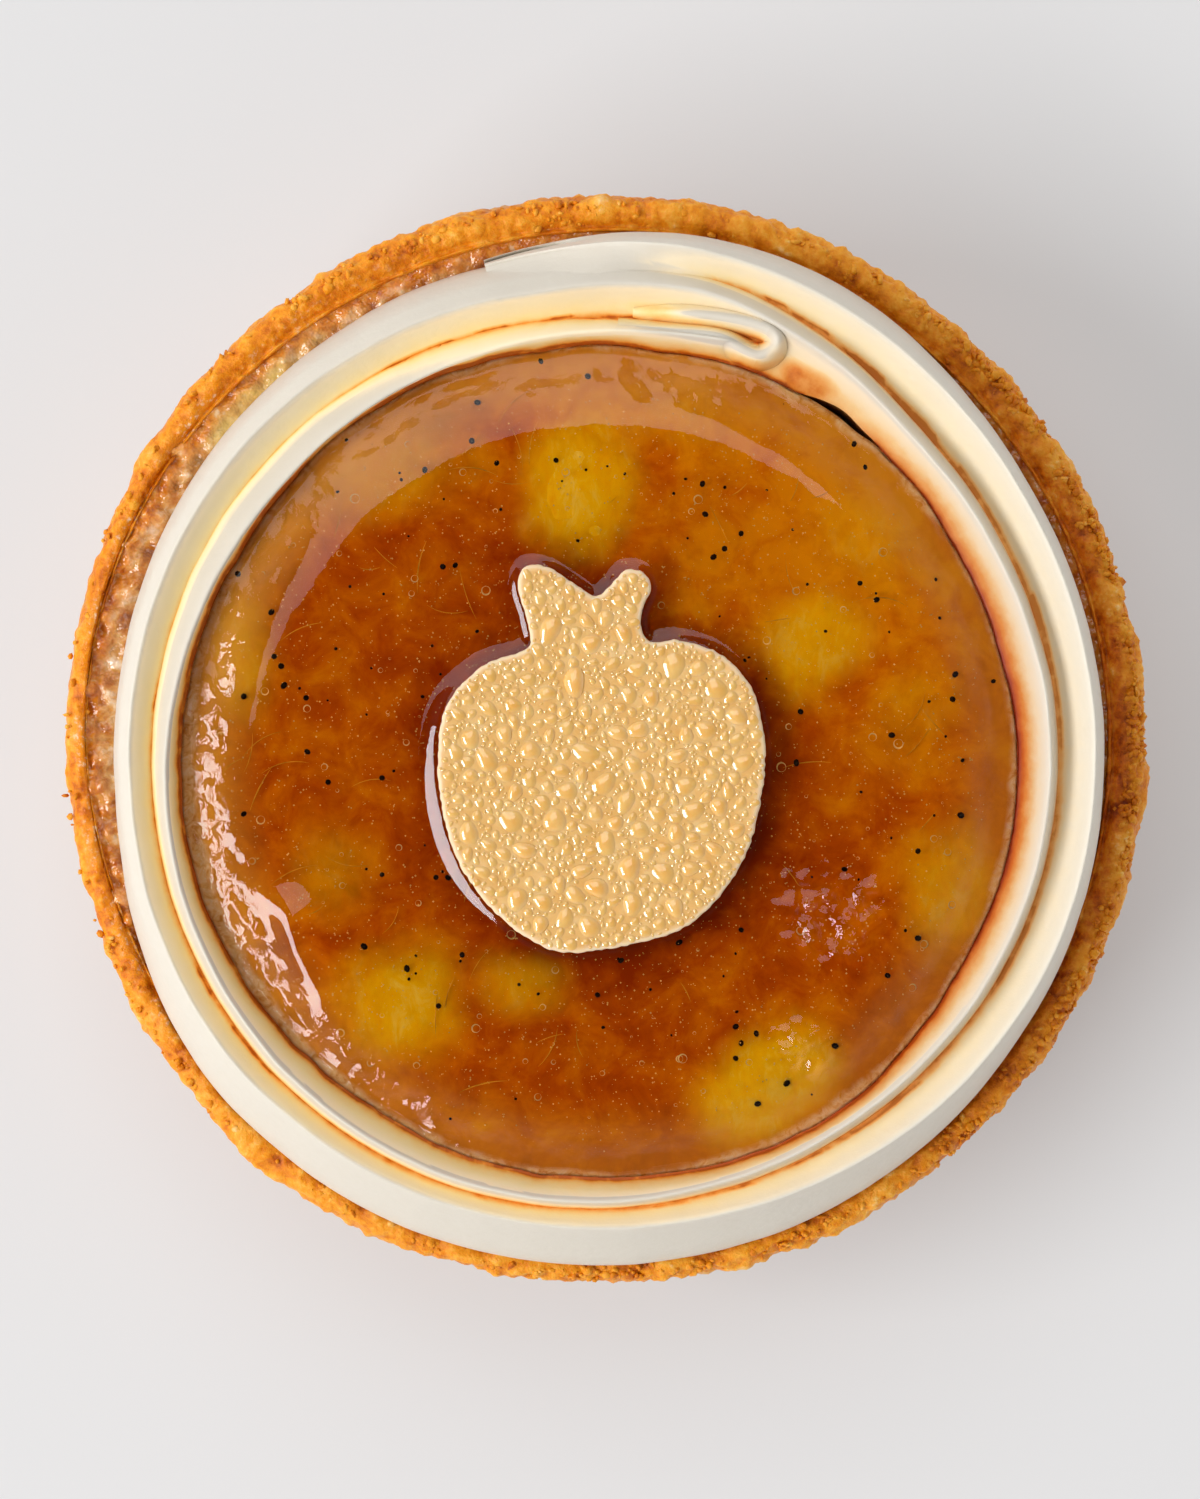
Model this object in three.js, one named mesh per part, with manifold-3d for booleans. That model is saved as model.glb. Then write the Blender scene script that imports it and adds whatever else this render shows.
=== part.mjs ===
// A round fruit tart, 80 mm across, standing on its flat base: a crumbly shortcrust shell, a baked
// fruit filling, a ribbon of cream piped round it in a spiral, a disc of fruit jelly inside the ribbon
// and a thin chocolate plaque with water beads on the jelly.
// Millimetres, +Z up, the origin at the centre of the flat base, -Y towards the front.
import * as THREE from "three";
import { mergeVertices } from "three/addons/utils/BufferGeometryUtils.js";
import Module from "manifold-3d";

const wasm = await Module();
wasm.setup();

// Driving dimensions, in millimetres.
const RING_DIAMETER = 80; // the baking ring that shaped the shell
const RING_HEIGHT = 20;
const WALL = 2.9;
const WALL_THINNER = 0.8; // how much thinner the wall is at the left, where the filling shows
const FLOOR = 3;
const CRUMB_RELIEF = 0.3; // how far crumbs stand out of the shell, and pits go in
const CLEAR = 0.3; // the gap kept between pieces that touch
const JELLY_DIAMETER = 61;
const JELLY_CENTRE = { x: -0.26, y: -1.66 };
const JELLY_TOP = 27.5;
const PLAQUE_CENTRE = { x: -0.08, y: -1.49 };
const PLAQUE_THICKNESS = 1.4;
const PLAQUE_BEVEL = 0.25;
const RIDGE_HEIGHT = 28.1; // the sharp lip of the piped ribbon
const RIBBON_WIDTH = 4.3; // one turn of the ribbon, most of it under the next turn
const RIBBON_DIP = 2.4; // how far its hollow inner face falls from the lip
const RIBBON_TAIL_FALL = 5.5; // how far the lip comes down where the ribbon ends
const BEADS = 90;

// What follows from them.
const SHELL_RADIUS = RING_DIAMETER / 2;
const HOLLOW_RADIUS = SHELL_RADIUS - WALL;
const FILLING_BASE = FLOOR + CLEAR;
const FILLING_TOP = RING_HEIGHT - 1.5;
const CREAM_BASE = FILLING_TOP + CLEAR + 0.1;
const JELLY_RADIUS = JELLY_DIAMETER / 2;
const PLAQUE_BASE = JELLY_TOP + CLEAR;

const turn = (degrees) => (degrees * Math.PI) / 180;
const mix = THREE.MathUtils.lerp;
const ease = THREE.MathUtils.smoothstep;

// A number from 0 to 1 that is always the same for the same seed.
function chance(seed) {
  const wave = Math.sin(seed * 127.1 + 311.7) * 43758.5453;
  return wave - Math.floor(wave);
}

// An uneven closed wave from -1 to 1 round the Z axis, with `bumps` random stations.
function unevenness(angle, bumps, seed) {
  const place = (((angle / (2 * Math.PI)) % 1) + 1) % 1 * bumps;
  const station = Math.floor(place);
  const level = (i) => 2 * chance((i % bumps) + seed * 57) - 1;
  return mix(level(station), level(station + 1), ease(place - station, 0, 1));
}

// 1 in the direction `middle`, falling to 0 at `reach` degrees to either side of it.
function towards(angle, middle, reach) {
  const away = Math.abs(Math.atan2(Math.sin(angle - turn(middle)), Math.cos(angle - turn(middle))));
  return 1 - ease(away, 0, turn(reach));
}

// A smooth line through [place, value] pairs.
function smoothLine(pairs) {
  return (place) => {
    const last = pairs.length - 1;
    const found = pairs.findIndex(([at]) => at > place);
    const i = found < 1 ? (found === 0 ? 0 : last - 1) : found - 1;
    const [before, from, to, after] = [i - 1, i, i + 1, i + 2].map(
      (k) => pairs[THREE.MathUtils.clamp(k, 0, last)],
    );
    const t = THREE.MathUtils.clamp((place - from[0]) / (to[0] - from[0]), 0, 1);
    const slope = (a, b) => (a === b ? 0 : ((b[1] - a[1]) / (b[0] - a[0])) * (to[0] - from[0]));
    const [leaving, arriving] = [slope(before, to), slope(from, after)];
    const t2 = t * t;
    const t3 = t2 * t;
    return (
      (2 * t3 - 3 * t2 + 1) * from[1] +
      (t3 - 2 * t2 + t) * leaving +
      (3 * t2 - 2 * t3) * to[1] +
      (t3 - t2) * arriving
    );
  };
}

// The geometry with its shared vertices merged, as a closed body needs.
function closed(geometry) {
  geometry.deleteAttribute("normal");
  geometry.deleteAttribute("uv");
  const merged = mergeVertices(geometry, 1e-4);
  merged.computeVertexNormals();
  return merged;
}

function solidOf(geometry) {
  return new wasm.Manifold(
    new wasm.Mesh({
      numProp: 3,
      vertProperties: new Float32Array(geometry.attributes.position.array),
      triVerts: new Uint32Array(geometry.index.array),
    }),
  );
}

function joined(geometries) {
  const whole = geometries.map(solidOf).reduce((sum, solid) => sum.add(solid));
  const mesh = whole.getMesh();
  const geometry = new THREE.BufferGeometry();
  geometry.setAttribute("position", new THREE.BufferAttribute(mesh.vertProperties, 3));
  geometry.setIndex(new THREE.BufferAttribute(mesh.triVerts, 1));
  geometry.computeVertexNormals();
  return geometry;
}

// A body turned about the Z axis from [radius, height] points that run from the axis to the axis.
// `shape` moves each point of the profile for the angle that it is turned to.
function turned(profile, steps, shape) {
  const points = profile.map(([radius, height]) => new THREE.Vector2(radius, height));
  const geometry = new THREE.LatheGeometry(points, steps);
  const position = geometry.attributes.position;
  for (let i = 0; i < position.count; i += 1) {
    const row = i % profile.length;
    const step = Math.floor(i / profile.length) % steps;
    const angle = (step / steps) * 2 * Math.PI;
    const [radius, height] = profile[row];
    const [r, z] = radius === 0 ? [0, height] : shape(row, angle, radius, height);
    position.setXYZ(i, r * Math.cos(angle), r * Math.sin(angle), z);
  }
  return closed(geometry);
}

// A body through a row of sections, each { angle, points: [[radius, height], ...] }, with the points
// running from the outer foot over the top to the inner foot. Its two ends are flat.
function swept(sections) {
  const count = sections[0].points.length;
  const place = sections.flatMap(({ angle, points }) =>
    points.flatMap(([r, z]) => [r * Math.cos(angle), r * Math.sin(angle), z]),
  );
  const order = [];
  for (let i = 0; i < sections.length - 1; i += 1) {
    for (let j = 0; j < count; j += 1) {
      const [a, d] = [i * count + j, i * count + ((j + 1) % count)];
      const [b, c] = [a + count, d + count];
      order.push(a, b, c, a, c, d);
    }
  }
  const endFaces = ({ points }) =>
    THREE.ShapeUtils.triangulateShape(points.map(([r, z]) => new THREE.Vector2(r, z)), []);
  const end = (sections.length - 1) * count;
  endFaces(sections[0]).forEach(([a, b, c]) => order.push(a, b, c));
  endFaces(sections.at(-1)).forEach(([a, b, c]) => order.push(end + a, end + c, end + b));
  const geometry = new THREE.BufferGeometry();
  geometry.setAttribute("position", new THREE.Float32BufferAttribute(place, 3));
  geometry.setIndex(order);
  return closed(geometry);
}

// The hollow is a little wider at the left.
const hollowGrowth = (angle) => WALL_THINNER * towards(angle, 178, 65);

// The shell: a straight-sided cup with a flat foot, a rounded rim and a crumbly outside.
const SHELL_STEPS = 120;
const RIM_ROWS = { first: 7, last: 11 };
const INNER_WALL_ROWS = { first: 11, last: 12 };

function shellGeometry() {
  const rim = RING_HEIGHT;
  const profile = [
    [0, 0],
    [SHELL_RADIUS - 1.1, 0],
    [SHELL_RADIUS - 0.5, 0.7],
    [SHELL_RADIUS - 0.3, 4.4],
    [SHELL_RADIUS - 0.2, 8.1],
    [SHELL_RADIUS - 0.1, 11.8],
    [SHELL_RADIUS - 0.05, 15.4],
    [SHELL_RADIUS, rim - 1.7],
    [SHELL_RADIUS - 0.2, rim - 0.7],
    [SHELL_RADIUS - 0.8, rim - 0.05],
    [SHELL_RADIUS - 1.6, rim],
    [SHELL_RADIUS - 2.3, rim - 0.6],
    [HOLLOW_RADIUS, rim - 1.8],
    [HOLLOW_RADIUS - 0.9, FLOOR],
    [0, FLOOR],
  ];
  return turned(profile, SHELL_STEPS, (row, angle, radius, height) => {
    const outside = row > 1 && row <= RIM_ROWS.last - 2;
    const onRim = row >= RIM_ROWS.first && row <= RIM_ROWS.last;
    const sway = 0.3 * unevenness(angle, 9, 1);
    const step = Math.round((angle / (2 * Math.PI)) * SHELL_STEPS);
    const crumbs = CRUMB_RELIEF * (2 * chance(step * 131 + row * 977) - 1);
    const lumps = 0.55 * towards(angle, -131, 7) + 0.4 * towards(angle, -5, 5) + 0.3 * towards(angle, 176, 6);
    const inside = row >= INNER_WALL_ROWS.first && row <= INNER_WALL_ROWS.last;
    const uneven = outside ? crumbs + lumps * (height / rim) : 0;
    const out = inside ? hollowGrowth(angle) : sway * (height / rim) + uneven;
    const up = onRim ? 0.16 * unevenness(angle, 60, 30 + row) - 0.1 : 0;
    return [radius + out, height + up];
  });
}

// The baked fruit filling: it fills the shell and rises in wet lumps against the rim, most at the left.
function fillingGeometry() {
  const edge = HOLLOW_RADIUS - CLEAR - 0.35;
  const profile = [
    [0, FILLING_BASE],
    [edge - 0.9, FILLING_BASE],
    [edge, FILLING_TOP - 0.4],
    [edge + 0.15, FILLING_TOP],
    [edge - 0.4, FILLING_TOP + 0.05],
    [edge - 0.95, FILLING_TOP],
    [edge - 4, FILLING_TOP],
    [0, FILLING_TOP],
  ];
  return turned(profile, 96, (row, angle, radius, height) => {
    const lip = row === 3 || row === 4;
    const side = row > 1 && row < 6;
    const left = towards(angle, 178, 65);
    const lumps = 0.5 + 0.5 * unevenness(angle, 48, 50 + row);
    const rise = lip ? left * (0.3 + 0.6 * lumps) : 0;
    return [radius + (side ? hollowGrowth(angle) : 0), height + rise];
  });
}

// The jelly disc, with a rounded and slightly wrinkled edge.
const jellyRipple = (angle) => 0.16 * unevenness(angle, 14, 80);

function jellyGeometry() {
  const [r, top, base] = [JELLY_RADIUS, JELLY_TOP, CREAM_BASE];
  const profile = [
    [0, base],
    [r - 1.6, base],
    [r - 0.35, base + 0.6],
    [r, base + 2.4],
    [r, top - 3.2],
    [r - 0.35, top - 1.6],
    [r - 1.2, top - 0.6],
    [r - 2.8, top - 0.12],
    [r - 6, top],
    [r - 12, top],
    [0, top],
  ];
  const geometry = turned(profile, 72, (row, angle, radius, height) => {
    const wrinkle = row > 4 && row < 8 ? 0.16 * unevenness(angle, 30, 90 + row) : 0;
    const swell = row > 5 && row < 9 ? 0.14 * unevenness(angle, 11, 100 + row) : 0;
    return [radius + jellyRipple(angle) - Math.abs(wrinkle), height + swell];
  });
  geometry.translate(JELLY_CENTRE.x, JELLY_CENTRE.y, 0);
  return geometry;
}

// How far from the origin the jelly's side is in one direction.
function jellySide(angle) {
  const along = JELLY_CENTRE.x * Math.cos(angle) + JELLY_CENTRE.y * Math.sin(angle);
  const across = JELLY_CENTRE.x * Math.sin(angle) - JELLY_CENTRE.y * Math.cos(angle);
  const reach = JELLY_RADIUS + 0.16;
  return along + Math.sqrt(reach * reach - across * across);
}

// The ribbon's path: degrees turned since the +X axis, and the radius of its lip there. It winds a
// little over two turns, and passes its own start in a wide step at 430 degrees.
const RIBBON_START = 68;
const RIBBON_END = 824;
const lipRadius = smoothLine([
  [RIBBON_START, 30.6],
  [80, 29.8],
  [110, 29.4],
  [145, 29.9],
  [200, 32.5],
  [250, 33.6],
  [300, 33.0],
  [345, 32.7],
  [400, 31.3],
  [420, 32.2],
  [438, 33.2],
  [460, 32.8],
  [510, 33.8],
  [545, 34.4],
  [580, 35.5],
  [640, 35.4],
  [690, 36.1],
  [750, 35.2],
  [800, 36.1],
  [RIBBON_END, 35.8],
]);
// How far the outer face leans out over the first 2 mm below the lip, and in all.
const upperLean = smoothLine([
  [RIBBON_START, 1.2],
  [100, 1.7],
  [145, 2.2],
  [190, 1.1],
  [240, 0.8],
  [330, 0.6],
  [400, 0.8],
  [450, 1.4],
  [520, 0.9],
  [600, 1.0],
  [690, 0.6],
  [RIBBON_END, 0.7],
]);
const wholeLean = smoothLine([
  [RIBBON_START, 2.0],
  [440, 2.4],
  [465, 3.1],
  [500, 2.3],
  [545, 1.8],
  [585, 2.9],
  [640, 3.2],
  [690, 1.5],
  [750, 1.4],
  [785, 1.9],
  [RIBBON_END, 1.5],
]);

// The ribbon lies on the filling, and where it spreads past it, just over the shell's rim.
function footHeight(radius) {
  const rimStart = HOLLOW_RADIUS - 0.7;
  return CREAM_BASE + (RING_HEIGHT + 0.45 - CREAM_BASE) * ease(radius, rimStart, rimStart + 1.6);
}

function ribbonSection(degrees) {
  const angle = turn(degrees);
  const tail = ease(degrees, RIBBON_END - 26, RIBBON_END + 4);
  const lip = lipRadius(degrees);
  const top = RIDGE_HEIGHT + 0.12 * unevenness(angle / 3, 17, 120) - RIBBON_TAIL_FALL * tail;
  const outerFoot = lip + wholeLean(degrees);
  const innerDepth = Math.min(RIBBON_WIDTH, lip - jellySide(angle) - CLEAR);
  const face = (depth) => [lip - depth, top - RIBBON_DIP * (1 - Math.exp(-depth / 1.3))];
  const stepRadius = Math.min(HOLLOW_RADIUS - 0.8, outerFoot - 0.4);
  return {
    angle,
    points: [
      [outerFoot, footHeight(outerFoot)],
      [lip + mix(upperLean(degrees), wholeLean(degrees), 0.55), mix(CREAM_BASE, top, 0.5)],
      [lip + upperLean(degrees), top - 2],
      [lip + 0.35 * upperLean(degrees), top - 0.75],
      [lip + 0.06, top - 0.06],
      [lip - 0.14, top],
      face(mix(0.14, innerDepth, 0.28)),
      face(mix(0.14, innerDepth, 0.6)),
      face(innerDepth),
      [lip - innerDepth, CREAM_BASE],
      [stepRadius, CREAM_BASE],
    ],
  };
}

function ribbonStretch(from, to) {
  const steps = Math.round((to - from) / 5.4);
  return swept(Array.from({ length: steps + 1 }, (_, i) => ribbonSection(mix(from, to, i / steps))));
}

// The ribbon's start is folded back on itself: a thin hooked lip, open towards the left.
const FOLD = { lip: 31.75, inner: 30.35, nose: 66.8, end: 90, thickness: 0.75 };

function foldGeometry() {
  const at = (degrees, radius) =>
    new THREE.Vector2(radius * Math.cos(turn(degrees)), radius * Math.sin(turn(degrees)));
  const half = FOLD.thickness / 2;
  const noseRadius = (FOLD.lip + FOLD.inner) / 2;
  const outline = new THREE.Shape();
  outline.moveTo(...at(FOLD.end, FOLD.lip + 0.1).toArray());
  const rest = [
    at(80, FOLD.lip + half),
    at(72, FOLD.lip + half),
    at(68.2, FOLD.lip + 0.1),
    at(FOLD.nose, noseRadius),
    at(68.2, FOLD.inner - 0.2),
    at(72, FOLD.inner - half),
    at(82, FOLD.inner - half),
    at(82, FOLD.inner + half),
    at(73, FOLD.inner + half),
    at(70.6, noseRadius),
    at(73, FOLD.lip - half),
    at(80, FOLD.lip - half),
    at(FOLD.end, FOLD.lip - 0.3),
  ];
  rest.forEach((point) => outline.lineTo(point.x, point.y));
  const base = RIDGE_HEIGHT - 4;
  const geometry = new THREE.ExtrudeGeometry(outline, {
    depth: RIDGE_HEIGHT - 0.35 - base,
    bevelEnabled: false,
  });
  geometry.translate(0, 0, base);
  return closed(geometry);
}

function creamGeometry() {
  const joints = [RIBBON_START, 300, 560, RIBBON_END];
  const stretches = joints.slice(1).map((to, i) => ribbonStretch(joints[i], to));
  return joined([...stretches, foldGeometry()]);
}

// The plaque's outline, a plain fruit with a stem and a leaf, about its own middle.
const PLAQUE_OUTLINE = [
  [-5.3, 8.3],
  [-5.5, 10.3],
  [-6.1, 12.6],
  [-5.5, 14.0],
  [-3.9, 13.9],
  [-1.5, 12.4],
  [-0.5, 11.8],
  [0.5, 12.5],
  [1.6, 13.7],
  [2.9, 13.6],
  [3.6, 12.6],
  [2.8, 10.2],
  [3.4, 8.6],
  [5.2, 8.7],
  [8.3, 7.8],
  [10.8, 5.2],
  [11.8, 0.8],
  [11.5, -3.0],
  [9.9, -7.9],
  [6.3, -11.9],
  [1.8, -13.4],
  [-3.4, -13.8],
  [-7.2, -11.5],
  [-10.2, -7.7],
  [-11.8, -1.8],
  [-11.3, 3.8],
  [-8.6, 6.8],
];

function plaqueOutline(steps) {
  const curve = new THREE.CatmullRomCurve3(
    PLAQUE_OUTLINE.map(([x, y]) => new THREE.Vector3(x, y, 0)),
    true,
    "centripetal",
  );
  return curve.getPoints(steps).slice(0, -1).map(({ x, y }) => new THREE.Vector2(x, y));
}

function plateGeometry() {
  const geometry = new THREE.ExtrudeGeometry(new THREE.Shape(plaqueOutline(96)), {
    depth: PLAQUE_THICKNESS - PLAQUE_BEVEL,
    bevelEnabled: true,
    bevelThickness: PLAQUE_BEVEL,
    bevelSize: PLAQUE_BEVEL,
    bevelOffset: -PLAQUE_BEVEL,
    bevelSegments: 1,
  });
  // Only the upper edge is rounded: the bevel below is pressed flat into the underside.
  const position = geometry.attributes.position;
  for (let i = 0; i < position.count; i += 1) {
    position.setZ(i, Math.max(position.getZ(i), 0));
  }
  return closed(geometry);
}

// A low dome of water, sunk a little into the plate.
function beadGeometry(x, y, radius) {
  const height = 0.42 * radius;
  const profile = [
    [0, -0.2],
    [0.9 * radius, -0.2],
    [radius, 0],
    [0.68 * radius, 0.62 * height],
    [0, height],
  ];
  const bead = turned(profile, 7, (row, angle, r, z) => [r, z]);
  bead.translate(x, y, PLAQUE_THICKNESS);
  return bead;
}

// Beads of water, the largest first, each clear of the edge and of the beads before it.
function beadGeometries() {
  const outline = plaqueOutline(200);
  const inside = (x, y) => {
    let crossings = 0;
    outline.forEach((a, i) => {
      const b = outline[(i + 1) % outline.length];
      const passes = a.y > y !== b.y > y;
      crossings += passes && x < ((b.x - a.x) * (y - a.y)) / (b.y - a.y) + a.x ? 1 : 0;
    });
    return crossings % 2 === 1;
  };
  const edgeDistance = (x, y) => Math.min(...outline.map((p) => Math.hypot(p.x - x, p.y - y)));
  const placed = [];
  for (let draw = 1; placed.length < BEADS && draw < 6000; draw += 1) {
    const x = mix(-12, 12, chance(draw * 3.17));
    const y = mix(-14, 14, chance(draw * 5.91 + 2));
    const radius = mix(0.95, 0.5, Math.sqrt(placed.length / BEADS));
    const free = placed.every((b) => Math.hypot(b.x - x, b.y - y) > b.radius + radius + 0.1);
    if (free && inside(x, y) && edgeDistance(x, y) > radius + PLAQUE_BEVEL + 0.35) {
      placed.push({ x, y, radius });
    }
  }
  return placed.map(({ x, y, radius }) => beadGeometry(x, y, radius));
}

function plaqueGeometry() {
  const geometry = joined([plateGeometry(), ...beadGeometries()]);
  geometry.translate(PLAQUE_CENTRE.x, PLAQUE_CENTRE.y, PLAQUE_BASE);
  return geometry;
}

function piece(name, geometry, color, roughness) {
  const material = new THREE.MeshStandardMaterial({ color, roughness, metalness: 0 });
  const mesh = new THREE.Mesh(geometry, material);
  mesh.name = name;
  return mesh;
}

const tart = new THREE.Group();
tart.add(piece("crust", shellGeometry(), "#b8701c", 0.85));
tart.add(piece("filling", fillingGeometry(), "#8a5a2c", 0.25));
tart.add(piece("cream", creamGeometry(), "#f3e6cf", 0.5));
tart.add(piece("jelly", jellyGeometry(), "#b4600c", 0.12));
tart.add(piece("plaque", plaqueGeometry(), "#e0b878", 0.45));

export default tart;
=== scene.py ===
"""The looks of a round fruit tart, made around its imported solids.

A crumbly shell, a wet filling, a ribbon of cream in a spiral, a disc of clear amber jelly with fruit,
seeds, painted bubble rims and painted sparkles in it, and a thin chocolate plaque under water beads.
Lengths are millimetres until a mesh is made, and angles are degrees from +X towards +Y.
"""

import math

import bpy
import numpy as np
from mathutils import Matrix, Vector


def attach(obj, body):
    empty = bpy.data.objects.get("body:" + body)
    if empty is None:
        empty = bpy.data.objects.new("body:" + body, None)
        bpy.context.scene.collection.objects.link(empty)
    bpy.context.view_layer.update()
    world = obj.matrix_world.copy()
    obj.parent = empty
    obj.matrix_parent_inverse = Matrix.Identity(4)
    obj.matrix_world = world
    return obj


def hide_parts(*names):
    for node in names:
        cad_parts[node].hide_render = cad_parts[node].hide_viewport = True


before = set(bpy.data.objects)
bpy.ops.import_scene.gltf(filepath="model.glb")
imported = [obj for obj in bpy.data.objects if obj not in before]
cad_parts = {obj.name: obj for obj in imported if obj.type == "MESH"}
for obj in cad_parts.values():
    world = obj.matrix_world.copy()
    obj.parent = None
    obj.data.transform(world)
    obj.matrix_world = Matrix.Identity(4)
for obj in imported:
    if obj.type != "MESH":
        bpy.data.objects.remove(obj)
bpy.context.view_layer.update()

MM = 0.001

# ---------------------------------------------------------------- driving dimensions, as in the solids
SHELL_RADIUS = 40.0
RIM = 20.0
WALL = 2.9
WALL_THINNER = 0.8
FLOOR = 3.0
CLEAR = 0.3
HOLLOW_RADIUS = SHELL_RADIUS - WALL
FILLING_TOP = RIM - 1.5
CREAM_BASE = FILLING_TOP + CLEAR + 0.1
LIP_HEIGHT = 28.1
RIBBON_WIDTH = 4.3
RIBBON_DIP = 2.4
RIBBON_TAIL_FALL = 5.5
JELLY_CENTRE = np.array([-0.26, -1.66])
JELLY_RADIUS = 30.5
JELLY_TOP = 27.5
PLAQUE_CENTRE = np.array([-0.08, -1.49])
PLAQUE_THICKNESS = 1.4
PLAQUE_BASE = JELLY_TOP + CLEAR
PLAQUE_TOP = PLAQUE_BASE + PLAQUE_THICKNESS

# ---------------------------------------------------------------- camera
PHOTO_WIDTH = 1200
CAMERA_HEIGHT = 450.0
CAMERA_PLACE = (-0.22, -0.74)
FOCAL_PIXELS = 5839
SENSOR_WIDTH = 36.0

# Steps round the axis.
SHELL_STEPS = 1000
FILLING_STEPS = 900
JELLY_STEPS = 720
PULP_STEPS = 600

# The side of the shell that has soaked up glaze, its dry side, where painted shade also falls, and its thin
# side with that side's reach.
SOAKED_SIDE = 172
DRY_SHADED_SIDE = -5
THIN_SIDE = (178, 65)


# ---------------------------------------------------------------- numbers
def colour(red, green, blue):
    """A linear colour from the usual 0 to 255 numbers."""
    def linear(value):
        v = value / 255
        return v / 12.92 if v <= 0.04045 else ((v + 0.055) / 1.055) ** 2.4
    return (linear(red), linear(green), linear(blue), 1.0)


def mix(a, b, t):
    return a + (b - a) * t


def ease(value, low, high):
    t = np.clip((np.asarray(value, float) - low) / (high - low), 0, 1)
    return t * t * (3 - 2 * t)


def chance(seed):
    """A number from 0 to 1 that is always the same for the same seed."""
    wave = np.sin(np.asarray(seed, float) * 127.1 + 311.7) * 43758.5453
    return wave - np.floor(wave)


def unevenness(angle, bumps, seed):
    """An uneven closed wave from -1 to 1 round the Z axis, with `bumps` random stations."""
    place = np.mod(np.asarray(angle) / (2 * math.pi), 1) * bumps
    station = np.floor(place)
    level_here = 2 * chance(np.mod(station, bumps) + seed * 57) - 1
    level_next = 2 * chance(np.mod(station + 1, bumps) + seed * 57) - 1
    return mix(level_here, level_next, ease(place - station, 0, 1))


def towards(angle, middle, reach):
    """1 in the direction `middle`, falling to 0 at `reach` degrees to either side of it."""
    away = np.abs(np.mod(np.degrees(angle) - middle + 180, 360) - 180)
    return 1 - ease(away, 0, reach)


def smooth_line(pairs):
    """A smooth line through [place, value] pairs."""
    at = np.array([p[0] for p in pairs], float)
    value = np.array([p[1] for p in pairs], float)
    slope = np.gradient(value, at)
    slope[1:-1] = (value[2:] - value[:-2]) / (at[2:] - at[:-2])

    def line(place):
        place = np.clip(np.asarray(place, float), at[0], at[-1])
        i = np.clip(np.searchsorted(at, place, side="right") - 1, 0, len(at) - 2)
        width = at[i + 1] - at[i]
        t = (place - at[i]) / width
        t2, t3 = t * t, t * t * t
        return (
            (2 * t3 - 3 * t2 + 1) * value[i]
            + (t3 - 2 * t2 + t) * slope[i] * width
            + (3 * t2 - 2 * t3) * value[i + 1]
            + (t3 - t2) * slope[i + 1] * width
        )

    return line


def scattered(i, j, k, seed):
    """A number from 0 to 1 for each whole-number place."""
    n = (i * 73856093) ^ (j * 19349663) ^ (k * 83492791) ^ (seed * 961748927)
    n = ((n ^ (n >> 15)) & 0xFFFFFFFF) * 739982445 & 0xFFFFFFFF
    n = ((n ^ (n >> 12)) & 0xFFFFFFFF) * 695872825 & 0xFFFFFFFF
    return ((n ^ (n >> 15)) & 0xFFFFFF) / 0xFFFFFF


def noise(points, size, seed):
    """Smooth noise from -1 to 1, with lumps about `size` across."""
    place = points / size
    cell = np.floor(place).astype(np.int64)
    part = place - cell
    part = part * part * part * (part * (part * 6 - 15) + 10)
    total = 0
    for corner in np.ndindex(2, 2, 2):
        weight = np.prod(np.where(corner, part, 1 - part), axis=1)
        x, y, z = (cell + corner).T
        total = total + weight * scattered(x, y, z, seed)
    return 2 * total - 1


def fractal(points, size, seed, octaves=3):
    """Noise with finer noise on it, from about -1 to 1."""
    total, whole = 0, 0
    for octave in range(octaves):
        weight = 0.5 ** octave
        total = total + weight * noise(points, size * weight, seed + 17 * octave)
        whole += weight
    return total / whole


def grains(points, size, seed):
    """The distance to the nearest of the random points that lie about `size` apart, in sizes."""
    place = points / size
    cell = np.floor(place).astype(np.int64)
    nearest = np.full(len(points), 9.0)
    for shift in np.ndindex(3, 3, 3):
        x, y, z = (cell + np.array(shift) - 1).T
        centre = np.stack([
            x + scattered(x, y, z, seed),
            y + scattered(x, y, z, seed + 1),
            z + scattered(x, y, z, seed + 2),
        ], axis=1)
        nearest = np.minimum(nearest, np.linalg.norm(centre - place, axis=1))
    return nearest


def flat(points, height=0.0):
    """[x, y] places as [x, y, z] places."""
    return np.column_stack([points, np.full(len(points), height)])


def polar(points, middle=(0.0, 0.0)):
    """The direction and the distance of points from a middle, seen from above."""
    across, along = points[:, 0] - middle[0], points[:, 1] - middle[1]
    return np.arctan2(along, across), np.hypot(across, along)


def from_polar(angle, radius, height):
    """Points from their direction, their distance from the Z axis and their height."""
    return np.stack([radius * np.cos(angle), radius * np.sin(angle), height], axis=-1)


def left_of(along):
    """For each [x, y] direction, the unit vector to its left."""
    along = along / np.linalg.norm(along, axis=1)[:, None]
    return np.column_stack([-along[:, 1], along[:, 0]])


def turned_by(points, angle):
    """Points turned round the Z axis, by an angle in radians."""
    c, s = math.cos(angle), math.sin(angle)
    return points @ np.array([[c, s, 0], [-s, c, 0], [0, 0, 1]])


# ---------------------------------------------------------------- meshes
def grid_faces(rows, columns, closed_rows=False, closed_columns=False):
    """Quads over a grid of points stored row by row."""
    row_count = rows if closed_rows else rows - 1
    column_count = columns if closed_columns else columns - 1
    i, j = np.meshgrid(np.arange(row_count), np.arange(column_count), indexing="ij")
    i_next, j_next = (i + 1) % rows, (j + 1) % columns
    quads = [i * columns + j, i * columns + j_next, i_next * columns + j_next, i_next * columns + j]
    return np.stack(quads, axis=-1).reshape(-1, 4)


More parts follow.
